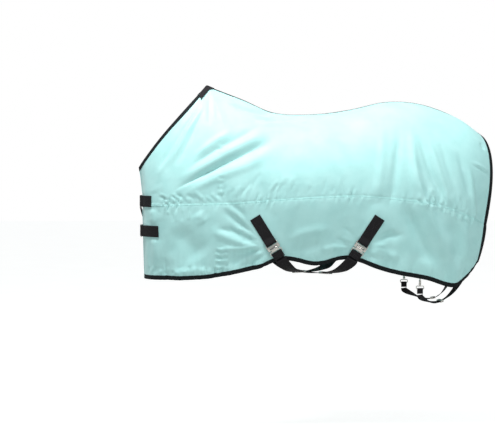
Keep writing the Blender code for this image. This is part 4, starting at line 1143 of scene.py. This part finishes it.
def fold_tape(name, inner, middle, edge, cad_node):
    """Edge tape folded over the cloth: rows of (point, normal) at its inner edge, middle and fold."""
    over = FABRIC / 2 + TAPE_CLEAR + TAPE
    (p0, n0), (p1, n1), (p2, n2) = inner, middle, edge
    out = unit(p2 - p1)
    skins = []
    for a in (over, over - TAPE):
        skins.append([
            p0 + n0 * a * 0.9, p1 + n1 * a, p2 + n2 * a, p2 + n2 * a * 0.7 + out * a * 0.7, p2 + out * a,
            p2 - n2 * a * 0.7 + out * a * 0.7, p2 - n2 * a, p1 - n1 * a, p0 - n0 * a * 0.9,
        ])
    rings = np.stack(skins[0] + skins[1][::-1], axis=1)
    places = np.array(TAPE_PLACES) * TAPE_WIDTH
    uv = section_uv(np.concatenate([places, places[::-1]]), gone_along(p2))
    obj = loft(name, rings, get_material("tape"), uv, 60)
    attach(obj, "sheet")
    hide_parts(cad_node)
    row = (p0 * 0.86 + p1 * 0.14 + n0 * (over + THREAD_RISE), n0)
    inside = (p0 * 0.86 + p1 * 0.14 - n0 * (over + THREAD_RISE), -n0)
    return obj, [row, inside]


def tape_places(side, edge, stations):
    """Rows of (point, normal) across a tape on the neck line (edge 0) or the hem (edge 1)."""
    cloth = drape(side)
    rows = []
    for share in (1.0, 0.5, 0.0):
        if edge == 0:
            drops = [cloth.drop_from_top(s, TAPE_WIDTH * share) for s in stations]
        else:
            drops = [cloth.drop_from_hem(s, TAPE_WIDTH * share) for s in stations]
        rows.append(cloth.at(stations, drops, CLOTH - FABRIC / 2))
    return rows


class HORSESHEET_OT_edges(bpy.types.Operator):
    """Binds the neck, hem and rear edges, and lays the spine tape and the wither patch"""
    bl_idname = "horse_sheet.edges"
    bl_label = "Edge Tapes"

    def execute(self, context):
        rows = []
        for side in (NEAR, OFF):
            label, cloth = SIDE_NAMES[side], drape(side)
            neck = np.linspace(0, WITHER - 0.72, 110)
            _, sewn = fold_tape(f"tape_{label}_neck", *tape_places(side, 0, neck), f"{label}_neck_binding")
            rows += sewn
            hem = np.linspace(0, REAR, 320)
            _, sewn = fold_tape(f"tape_{label}_hem", *tape_places(side, 1, hem), f"{label}_hem_binding")
            rows += sewn
            first = cloth.drop_from_top(REAR, 0.010)
            last = cloth.drop_from_hem(REAR, 0.004)
            drops = np.linspace(first, last, 150)
            places = []
            for share in (1.0, 0.5, 0.0):
                stations = [cloth.station_from_rear(d, TAPE_WIDTH * share) for d in drops]
                places.append(cloth.at(stations, drops, CLOTH - FABRIC / 2))
            _, sewn = fold_tape(f"tape_{label}_rear", *places, f"{label}_rear_binding")
            rows += sewn
        rows += self.spine()
        stitches("stitches_edges", rows, "black_thread")
        self.patch()
        return {"FINISHED"}

    def spine(self):
        """Tape over the seam along the back. Returns its stitch rows."""
        near, off = drape(NEAR), drape(OFF)
        stations = np.linspace(WITHER + 0.18, REAR, 230)
        columns = []
        for share in SPINE_SHARES:
            cloth = near if share < 0 else off
            drops = [cloth.drop_from_top(s, SPINE_HALF * abs(share) + 0.001) for s in stations]
            columns.append(cloth.at(stations, drops, CLOTH + TAPE_CLEAR))
        low = np.stack([points for points, _ in columns], axis=1)
        normals = np.stack([normal for _, normal in columns], axis=1)
        uv = section_uv(np.array(SPINE_SHARES) * SPINE_HALF, np.linspace(0, 1.25, len(stations)))
        obj = shell("tape_spine", low, low + normals * TAPE, get_material("tape"), uv)
        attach(obj, "sheet")
        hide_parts("spine_binding")
        rows = []
        for column, beside in ((0, 1), (5, 4)):
            line = low[:, column] * 0.75 + low[:, beside] * 0.25 + normals[:, column] * (TAPE + THREAD_RISE)
            rows.append((line, normals[:, column]))
        return rows

    def patch(self):
        """A saddle of webbing over the wither, where the neck line meets the spine."""
        near, off = drape(NEAR), drape(OFF)
        reach = np.linspace(0, 1, 7)
        rows, outs = [], []
        for cloth, flip in ((near, 1), (off, -1)):
            side_rows = []
            for s in np.linspace(4.22, 4.96, 12):
                drops = [cloth.drop_from_top(s, PATCH_DEPTH * share) for share in reach]
                side_rows.append(cloth.at(s, drops, PATCH_LIFT))
            for turn in (0.3, 0.6, 0.85):
                down = np.array([cloth.drop_from_top(WITHER, PATCH_DEPTH * share) for share in reach])
                station = 4.97 + turn * (0.03 + 0.24 * reach)
                side_rows.append(cloth.at(station, down * (1 - turn) + 0.001, PATCH_LIFT))
            for points, normals in side_rows[::flip]:
                rows.append(points)
                outs.append(normals)
        rows, outs = np.array(rows), np.array(outs)
        uv = section_uv(reach * PATCH_DEPTH, np.linspace(0, 0.14, len(rows)))
        obj = shell("web_wither_patch", rows, rows + outs * PATCH_THICK, get_material("webbing"), uv)
        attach(obj, "sheet")
        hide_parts("wither_patch")
        top = rows + outs * (PATCH_THICK + THREAD_RISE)
        lines = [
            (top[:, 1] * 0.5 + top[:, 0] * 0.5, outs[:, 1]),
            (top[:, 5] * 0.4 + top[:, 6] * 0.6, outs[:, 5]),
            (top[1], outs[1]), (top[-2], outs[-2]),
        ]
        stitches("stitches_wither_patch", lines, "black_thread")


class HORSESHEET_OT_seams(bpy.types.Operator):
    """Sews the flank seams with two rows of stitches"""
    bl_idname = "horse_sheet.seams"
    bl_label = "Flank Seams"

    def execute(self, context):
        for side in (NEAR, OFF):
            cloth = drape(side)
            rows = []
            for drop in (SEAM_AT + 0.0015, SEAM_AT + 0.0095):
                stations = np.linspace(0.05, REAR - 0.16, 400)
                points, normals = cloth.at(stations, drop, CLOTH + FABRIC + THREAD_RISE)
                rows.append((points, normals))
            stitches(f"stitches_{SIDE_NAMES[side]}_flank_seam", rows, "mint_thread")
        return {"FINISHED"}


# ---- Straps and clips ----------------------------------------------------------------------------
# A clip's local X runs down the strap from the middle of its plate, Y across it, Z outwards.
PLATE = 0.0025
STAY_BAR = -0.013        # middle of the plate's upper bar
HOOK_BAR = 0.03425       # middle of the hook's lower bar
CLIP_LIFT = 0.0078
GAP = 0.0004
SEWN_LIFT = CLOTH + 2 * GAP + 0.0012
CROSSING = 0.045         # X where the two belly straps cross under the belly
HOOK_BAR_HALF = 0.0009
BELLY_TAIL = 0.016       # how far a stay turns back under its plate
CHEST_TAIL = 0.010
BELLY_END = 0.0275       # how far a strap's folded end reaches past the hook's bar
CHEST_END = 0.0135
ANCHOR_LIFT = SEWN_LIFT + 0.0012         # a strap's far end, over the cloth
# Height of each chest strap and the station where its stay ends.
CHEST_LEVELS = {"upper_chest": (UPPER_CHEST, 1.42), "lower_chest": (LOWER_CHEST, 1.82)}
BELLY_PATH = (           # X from the crossing, Y, Z, and how far the strap leans, in degrees
    (-0.118, -0.241, -0.676, 45), (-0.090, -0.180, -0.692, 70), (-0.048, -0.095, -0.701, 83),
    (0.0, 0.0, -0.704, 90), (0.048, 0.095, -0.701, 97), (0.090, 0.180, -0.692, 110),
    (0.120, 0.245, -0.668, 138), (0.148, 0.277, -0.638, 165),
)
OFF_REAR_ANCHOR = ((0.240, -0.586), (0.272, -0.535), (0.300, -0.490), (0.324, -0.4545))
OFF_FRONT_ANCHOR = ((-0.142, -0.584), (-0.171, -0.535), (-0.197, -0.490), (-0.223, -0.453))


def turned_frame(point, down, normal):
    """A 4 by 4 frame with X along the strap, Z out of the sheet and Y across the strap."""
    z = unit(np.asarray(normal, float))
    x = unit(down - z * (down @ z))
    made = np.eye(4)
    made[:3, 0], made[:3, 1], made[:3, 2], made[:3, 3] = x, np.cross(z, x), z, point
    return made


def placed(clip, points):
    return np.asarray(points, float) @ clip[:3, :3].T + clip[:3, 3]


def surface_clip(stay):
    """The clip's frame past the lower end of a stay on the near skirt."""
    (x0, z0), (x1, z1) = stay
    reach = 1 + 0.016 / math.hypot(x1 - x0, z1 - z0)
    cloth = drape(NEAR)
    point, normal = cloth.on_skirt(x0 + (x1 - x0) * reach, z0 + (z1 - z0) * reach, CLOTH + CLIP_LIFT)
    above, _ = cloth.on_skirt(x1, z1, CLOTH + CLIP_LIFT)
    return turned_frame(point, point - above, normal)


def wrap(bar, reach, first, last, toward):
    """Half a turn of webbing round a bar, from one face to the other."""
    turn = np.linspace(0, np.pi, 13)
    return np.stack([
        bar + toward * reach * np.sin(turn), np.zeros_like(turn),
        first + (last - first) * (1 - np.cos(turn)) / 2,
    ], axis=1)


def stay_strap(label, clip, surface, tail):
    """Webbing sewn flat on the sheet, folded round the plate's upper bar and back on itself."""
    settings = bpy.context.scene.horse_sheet
    thick = settings.webbing_thickness
    turn = PLATE / 2 + 2 * GAP + thick / 2
    local = [(STAY_BAR - 0.008, 0, turn - 0.0010), (STAY_BAR - 0.003, 0, turn)]
    local += [tuple(p) for p in wrap(STAY_BAR, 0.0046, turn, -turn, 1)]
    local += [(STAY_BAR - 0.003, 0, -turn), (STAY_BAR - tail, 0, -turn + 0.0008)]
    turned = placed(clip, local)
    sewn = np.array([point for point, _ in surface])
    normals = np.array([normal for _, normal in surface] + [clip[:3, 2]])
    wide = across_path(np.concatenate([sewn, turned[:1]]), normals, clip[:3, 1])
    path = np.concatenate([sewn, turned])
    across = np.concatenate([wide[:-1], np.repeat(clip[None, :3, 1], len(turned), axis=0)])
    obj = webbing(f"web_{label}_stay", cut_corners(path), cut_corners(across), settings.strap_width)
    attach(obj, "sheet")
    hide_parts(f"{label}_stay")
    lifted = sewn + normals[:-1] * (thick / 2 + THREAD_RISE)
    rows = box_rows(lifted, normals[:-1], wide[:-1], settings.strap_width, 0.004)
    stitches(f"stitches_{label}_stay", rows, "black_thread")
    return obj


def end_strap(label, clip, length):
    """The strap's folded end round the hook's lower bar."""
    settings = bpy.context.scene.horse_sheet
    thick = settings.webbing_thickness
    turn = HOOK_BAR_HALF + 2 * GAP + thick / 2
    far = HOOK_BAR + length
    local = [(far, 0, turn), (HOOK_BAR + 0.010, 0, turn)]
    local += [tuple(p) for p in wrap(HOOK_BAR, 0.0050, turn, -turn, -1)]
    local += [(HOOK_BAR + 0.010, 0, -turn), (far, 0, -turn)]
    path = cut_corners(placed(clip, local))
    across = np.repeat(clip[None, :3, 1], len(path), axis=0)
    obj = webbing(f"web_{label}_strap_end", path, across, settings.strap_width)
    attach(obj, f"{label}_hook_end")
    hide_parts(f"{label}_strap_end")
    start, stop = HOOK_BAR + 0.011, far - 0.002
    line = placed(clip, [(x, 0, turn + thick / 2 + THREAD_RISE) for x in np.linspace(start, stop, 6)])
    out = np.repeat(clip[None, :3, 2], 6, axis=0)
    wide = np.repeat(clip[None, :3, 1], 6, axis=0)
    rows = box_rows(line, out, wide, settings.strap_width, 0.004)
    stitches(f"stitches_{label}_strap_end", rows, "black_thread", f"{label}_hook_end")


def belly_strap(label, stay, anchor, under):
    settings = bpy.context.scene.horse_sheet
    clip = surface_clip(stay)
    (x0, z0), (x1, z1) = stay
    surface = [
        drape(NEAR).on_skirt(x0 + (x1 - x0) * p, z0 + (z1 - z0) * p, SEWN_LIFT)
        for p in np.linspace(0, 0.82, 14)
    ]
    stay_strap(label, clip, surface, BELLY_TAIL)
    end_strap(label, clip, BELLY_END)
    lead = 1 if anchor[-1][0] > CROSSING else -1
    out = clip[:3, 2]
    route = [(placed(clip, (0.068, 0, 0)), out), (placed(clip, (0.082, 0, 0.0015)), out)]
    for i, (x, y, z, lean) in enumerate(BELLY_PATH):
        tilt = math.radians(lean)
        low = under / 2 if i == len(BELLY_PATH) - 1 else under
        route.append(((CROSSING + lead * x, y, z - low), (0, -math.cos(tilt), -math.sin(tilt))))
    off = drape(OFF)
    route += [off.on_skirt(x, z, ANCHOR_LIFT) for x, z in anchor]
    path, normals = smooth_route(route, 10)
    across = across_path(path, normals, clip[:3, 1])
    obj = webbing(f"web_{label}_strap", path, across, settings.strap_width)
    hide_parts(f"{label}_strap")
    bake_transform(obj)
    anchor_patch(label, anchor[-2], anchor[-1])


def anchor_patch(label, low_end, high_end):
    """A patch sewn down over a belly strap's end on the off side."""
    cloth = drape(OFF)
    low = ANCHOR_LIFT + 0.0026
    (x0, z0), (x1, z1) = low_end, high_end
    spots = [
        cloth.on_skirt(x0 + (x1 - x0) * p, z0 + (z1 - z0) * p, low)
        for p in np.linspace(0.25, 1.05, 9)
    ]
    points, normals = (np.array(v) for v in zip(*spots))
    wide = unit(np.cross(normals, points[-1] - points[0]))
    shares = np.linspace(-0.030, 0.030, 9)
    grid = points[:, None] + wide[:, None] * shares[None, :, None]
    outs = np.repeat(normals[:, None], len(shares), axis=1)
    gone = np.linspace(0, np.linalg.norm(points[-1] - points[0]), len(points))
    uv = np.stack(np.broadcast_arrays(shares[None, :], gone[:, None]), axis=-1)
    obj = shell(f"web_{label}_anchor", grid, grid + outs * 0.0016, get_material("webbing"), uv)
    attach(obj, "sheet")
    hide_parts(f"{label}_anchor")
    inner = points + normals * 0.0017
    trim = (inner[1:-1], normals[1:-1], wide[1:-1])
    stitches(f"stitches_{label}_anchor", box_rows(*trim, 0.060, 0.005), "black_thread")


class HORSESHEET_OT_belly_straps(bpy.types.Operator):
    """Makes the two crossed belly straps with their stays and anchors"""
    bl_idname = "horse_sheet.belly_straps"
    bl_label = "Belly Straps"

    def execute(self, context):
        belly_strap("front_belly", STAY_LINES["front_belly"], OFF_REAR_ANCHOR, 0.0)
        belly_strap("rear_belly", STAY_LINES["rear_belly"], OFF_FRONT_ANCHOR, 0.006)
        return {"FINISHED"}


CHEST_LIFTS = ((0.80, 0.0105), (1.05, 0.0100), (1.30, 0.0085), (1.60, 0.0050), (1.90, 0.0044), (2.25, 0.0044))


def chest_strap(label, level, last_station):
    settings = bpy.context.scene.horse_sheet
    near, off = drape(NEAR), drape(OFF)
    out = np.array((-1.0, 0, 0))
    low, high = (np.array(corner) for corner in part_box(f"{label}_plate"))
    clip = turned_frame((low + high) / 2, np.array((0.0, 1.0, 0.0)), out)
    stations = last_station * np.linspace(1.0, 0.42, 12)
    sewn = [near.at_level(station, level, SEWN_LIFT + 0.0006) for station in stations]
    stay_strap(label, clip, sewn, CHEST_TAIL)
    end_strap(label, clip, CHEST_END)
    route = [(placed(clip, (0.0545, 0, 0)), out), (placed(clip, (0.0620, 0, 0)), out)]
    route += [off.at_level(s, level, lift) for s, lift in CHEST_LIFTS]
    path, normals = smooth_route(route, 8)
    across = across_path(path, normals, clip[:3, 1])
    obj = webbing(f"web_{label}_strap", path, across, settings.strap_width)
    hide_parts(f"{label}_strap")
    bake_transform(obj)
    lines = slice(-22, -2)
    lifted = path[lines] + normals[lines] * (settings.webbing_thickness / 2 + THREAD_RISE)
    rows = box_rows(lifted, normals[lines], across[lines], settings.strap_width, 0.004)
    stitches(f"stitches_{label}_strap", rows, "black_thread")
    return clip


class HORSESHEET_OT_chest_straps(bpy.types.Operator):
    """Makes the two chest straps with their stays"""
    bl_idname = "horse_sheet.chest_straps"
    bl_label = "Chest Straps"

    def execute(self, context):
        for label, (level, last_station) in CHEST_LEVELS.items():
            chest_strap(label, level, last_station)
        self.tail()
        return {"FINISHED"}

    def tail(self):
        """The upper strap's spare end, folded back at its slider and hanging in front of the chest."""
        settings = bpy.context.scene.horse_sheet
        points = (
            (-0.716, 0.046, -0.412), (-0.713, 0.042, -0.424), (-0.707, 0.036, -0.446),
            (-0.697, 0.030, -0.472), (-0.691, 0.028, -0.486),
        )
        path = spline(points, np.linspace(0, len(points) - 1, 25))
        across = np.repeat(unit(np.array([[0.15, 1.0, 0.1]])), len(path), axis=0)
        obj = webbing("web_upper_chest_tail", path, across, settings.strap_width * 0.8)
        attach(obj, "upper_chest_hook_end")


# ---- Leg straps -------------------------------------------------------------------------------
EYE_LOW = -0.0725        # the swivel eye's lower bar, below the ring's straight bar
LEG_WIRE = 0.0020


def leg_straps(side):
    settings = bpy.context.scene.horse_sheet
    label, cloth = SIDE_NAMES[side], drape(side)
    thick, width = settings.webbing_thickness, settings.leg_strap_width
    cad_low, cad_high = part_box(f"{label}_leg_ring")
    bar = np.array(((cad_low[0] + cad_high[0]) / 2, (cad_low[1] + cad_high[1]) / 2, cad_high[2] - LEG_WIRE))
    turn = LEG_WIRE + 2 * GAP + thick / 2
    angles = np.linspace(0, np.pi, 13)
    top, _ = cloth.on_skirt(0.510, -0.650, -0.0032)
    path = [top + (bar + (0, side * turn, 0) - top) * share for share in np.linspace(0, 0.9, 6)]
    path += [bar + (0, side * turn * math.cos(a), -turn * math.sin(a)) for a in angles]
    path += [bar + (0, -side * turn, 0.010), bar + (0, -side * turn, 0.020)]
    across = np.repeat([(1.0, 0, 0)], len(path), axis=0)
    obj = webbing(f"web_{label}_leg_keeper", cut_corners(path), cut_corners(across), width)
    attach(obj, "sheet")
    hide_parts(f"{label}_leg_keeper")
    spin = 1 if side < 0 else -1
    path = [(0, spin * turn, EYE_LOW - 0.020), (0, spin * turn, EYE_LOW - 0.010)]
    path += [(0, spin * turn * math.cos(a), EYE_LOW + turn * math.sin(a)) for a in angles]
    path += [(0, -spin * turn, EYE_LOW - 0.010), (0, -spin * turn, EYE_LOW - 0.020)]
    path = cut_corners(np.array(path) + bar)
    across = np.repeat([(1.0, 0, 0)], len(path), axis=0)
    obj = webbing(f"web_{label}_leg_strap_end", path, across, width)
    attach(obj, f"{label}_leg_clip")
    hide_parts(f"{label}_leg_strap_end")
    start = bar + (0, 0, EYE_LOW - 0.0245)
    inside = np.array((0, -side, 0.0))
    down = np.array((0, 0, -1.0))
    low, low_out = cloth.on_skirt(0.728, -0.672, -0.0070)
    high, high_out = cloth.on_skirt(0.738, -0.640, -0.0045)
    route = [
        (start, inside),
        (start + (0.003, 0, -0.010), inside),
        ((0.545, side * 0.190, -0.822), unit(inside + down * 0.6)),
        ((0.585, side * 0.130, -0.838), unit(inside * 0.5 + down)),
        ((0.635, side * 0.095, -0.830), down),
        ((0.680, side * 0.105, -0.790), unit(inside * 0.6 + down * 0.6 + (0.6, 0, 0))),
        ((0.712, side * 0.145, -0.728), unit(inside + (0.3, 0, 0))),
        (low, -low_out),
        (high, -high_out),
    ]
    path, normals = smooth_route(route, 10)
    across = across_path(path, normals, np.array((1.0, 0, 0)))
    obj = webbing(f"web_{label}_leg_strap", path, across, width)
    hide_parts(f"{label}_leg_strap")
    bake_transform(obj)


class HORSESHEET_OT_leg_straps(bpy.types.Operator):
    """Makes the leg straps with their keepers and folded ends"""
    bl_idname = "horse_sheet.leg_straps"
    bl_label = "Leg Straps"

    def execute(self, context):
        for side in (NEAR, OFF):
            leg_straps(side)
        return {"FINISHED"}


# ---- Metalwork ----------------------------------------------------------------------------------
METAL_BODIES = {}
for _label in ("front_belly", "rear_belly", "upper_chest", "lower_chest"):
    METAL_BODIES[f"{_label}_plate"] = "sheet"
    METAL_BODIES[f"{_label}_hook"] = f"{_label}_hook_end"
    METAL_BODIES[f"{_label}_slider"] = f"{_label}_slider_body"
for _label in ("near", "off"):
    for _part in ("ring", "snap", "eye"):
        METAL_BODIES[f"{_label}_leg_{_part}"] = f"{_label}_leg_clip"
    METAL_BODIES[f"{_label}_leg_bolt"] = f"{_label}_leg_bolt_body"
    METAL_BODIES[f"{_label}_leg_slider"] = f"{_label}_leg_slider_body"
EDGE_ROUND = 0.00045


def metal_piece(node, body):
    """A clip part with its stamped edges rounded over."""
    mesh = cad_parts[node].data.copy()
    mesh.name = f"metal_{node}"
    work = bmesh.new()
    work.from_mesh(mesh)
    bmesh.ops.remove_doubles(work, verts=work.verts, dist=1e-6)
    bmesh.ops.dissolve_limit(
        work, angle_limit=math.radians(1.0), verts=work.verts, edges=work.edges, delimit={"NORMAL"},
    )
    sharp = [e for e in work.edges if len(e.link_faces) == 2 and e.calc_face_angle(0) > math.radians(50)]
    bmesh.ops.bevel(
        work, geom=sharp, offset=EDGE_ROUND, segments=2, profile=0.5, affect="EDGES", clamp_overlap=True,
    )
    bmesh.ops.recalc_face_normals(work, faces=work.faces)
    work.to_mesh(mesh)
    work.free()
    mesh.materials.clear()
    mesh.materials.append(get_material("nickel"))
    mesh.polygons.foreach_set("use_smooth", [True] * len(mesh.polygons))
    mesh.set_sharp_from_angle(angle=math.radians(40))
    obj = bpy.data.objects.new(f"metal_{node}", mesh)
    bpy.context.scene.collection.objects.link(obj)
    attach(obj, body)
    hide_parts(node)
    return obj


class HORSESHEET_OT_metalwork(bpy.types.Operator):
    """Makes the plates, hooks, sliders and leg clips"""
    bl_idname = "horse_sheet.metalwork"
    bl_label = "Metalwork"

    def execute(self, context):
        for node, body in METAL_BODIES.items():
            metal_piece(node, body)
        return {"FINISHED"}


# ---- Stage --------------------------------------------------------------------------------------
FLOOR_LEVEL = -1.395
CAMERA_AIM = (-0.236, 0.0, -0.457)
CAMERA_AZIMUTH = -4.0
CAMERA_DISTANCE = 9.0
CAMERA_HEIGHT = -0.20
FRAME_WIDTH = 2.2275     # metres across the view at the sheet
SENSOR = 36.0


def area_light(name, place, aim, size, power, tint=(1, 1, 1)):
    light = bpy.data.lights.new(name, "AREA")
    light.shape = "RECTANGLE"
    light.size, light.size_y = size
    light.energy = power
    light.color = tint
    obj = bpy.data.objects.new(name, light)
    bpy.context.scene.collection.objects.link(obj)
    obj.location = place
    obj.rotation_euler = (Vector(aim) - Vector(place)).to_track_quat("-Z", "Y").to_euler()
    return obj


# Brightness of the surroundings by the height of the direction: a low ground, a white
# horizon and a soft sky.
SURROUNDINGS = (
    (-1.0, (0.07, 0.065, 0.055)), (-0.15, (0.10, 0.095, 0.085)), (-0.13, (1.0, 1.0, 1.0)),
    (0.10, (1.0, 1.0, 1.0)), (0.13, (0.22, 0.235, 0.245)), (1.0, (0.58, 0.61, 0.63)),
)


class HORSESHEET_OT_stage(bpy.types.Operator):
    """Sets the pale floor, soft studio lights and the camera"""
    bl_idname = "horse_sheet.stage"
    bl_label = "Studio Stage"

    def surroundings(self, tree, strength):
        tree.nodes.clear()
        way = add_node(tree, "ShaderNodeTexCoord").outputs["Generated"]
        height = add_node(tree, "ShaderNodeSeparateXYZ", links={"Vector": way}).outputs["Z"]
        share = add_node(
            tree, "ShaderNodeMapRange", inputs={"From Min": -1.0, "From Max": 1.0}, links={"Value": height},
        )
        shade = add_node(tree, "ShaderNodeValToRGB", links={"Fac": share.outputs["Result"]})
        marks = shade.color_ramp.elements
        while len(marks) < len(SURROUNDINGS):
            marks.new(0.5)
        for mark, (level, tint) in zip(marks, SURROUNDINGS):
            mark.position = (level + 1) / 2
            mark.color = (*tint, 1.0)
        background = add_node(
            tree, "ShaderNodeBackground", inputs={"Strength": strength},
            links={"Color": shade.outputs["Color"]},
        )
        add_node(tree, "ShaderNodeOutputWorld", links={"Surface": background.outputs["Background"]})

    def execute(self, context):
        settings = context.scene.horse_sheet
        points = [(x, y, FLOOR_LEVEL) for y in (-30.0, 30.0) for x in (-30.0, 30.0)]
        floor = new_object("studio_floor", points, [(0, 1, 3, 2)], get_material("floor"))
        world = bpy.data.worlds.new("Pale surroundings")
        context.scene.world = world
        context.scene.view_settings.view_transform = "Standard"
        world.use_nodes = True
        self.surroundings(world.node_tree, settings.fill_light)
        lights = [
            area_light(
                "Overhead softbox", (-1.05, -1.05, 3.3), (0.10, 0, -0.3), (1.7, 1.2), settings.top_light,
            ),
            area_light(
                "Rear fill softbox", (2.3, -3.4, 1.3), (0.45, -0.2, -0.5), (1.8, 1.8), settings.rear_light,
            ),
        ]
        camera = bpy.data.cameras.new("Camera")
        camera.sensor_width = SENSOR
        turn = math.radians(CAMERA_AZIMUTH)
        aim = Vector(CAMERA_AIM)
        place = aim + Vector((math.sin(turn), -math.cos(turn), 0)) * CAMERA_DISTANCE
        place.z = CAMERA_HEIGHT
        camera.lens = SENSOR * (aim - place).length / FRAME_WIDTH
        view = bpy.data.objects.new("Camera", camera)
        context.scene.collection.objects.link(view)
        view.location = place
        view.rotation_euler = (aim - place).to_track_quat("-Z", "Y").to_euler()
        context.scene.camera = view
        return {"FINISHED"}


# ---- Panel and start ------------------------------------------------------------------------------
OPERATORS = (
    HORSESHEET_OT_cloth,
    HORSESHEET_OT_edges,
    HORSESHEET_OT_seams,
    HORSESHEET_OT_belly_straps,
    HORSESHEET_OT_chest_straps,
    HORSESHEET_OT_leg_straps,
    HORSESHEET_OT_metalwork,
    HORSESHEET_OT_stage,
)


class HORSESHEET_PT_panel(bpy.types.Panel):
    """Lists the settings and the steps that build the sheet"""
    bl_idname = "HORSESHEET_PT_panel"
    bl_label = "Horse Sheet"
    bl_space_type = "VIEW_3D"
    bl_region_type = "UI"
    bl_category = "Horse Sheet"

    def draw(self, context):
        settings = context.scene.horse_sheet
        for name in HorseSheetSettings.__annotations__:
            self.layout.prop(settings, name)
        for operator in OPERATORS:
            self.layout.operator(operator.bl_idname)


CLASSES = (HorseSheetSettings, *OPERATORS, HORSESHEET_PT_panel)


def register():
    for kind in CLASSES:
        bpy.utils.register_class(kind)
    bpy.types.Scene.horse_sheet = bpy.props.PointerProperty(type=HorseSheetSettings)


def unregister():
    del bpy.types.Scene.horse_sheet
    for kind in reversed(CLASSES):
        bpy.utils.unregister_class(kind)


def main():
    register()
    for operator in OPERATORS:
        group, name = operator.bl_idname.split(".")
        getattr(getattr(bpy.ops, group), name)()


if __name__ == "__main__":
    main()
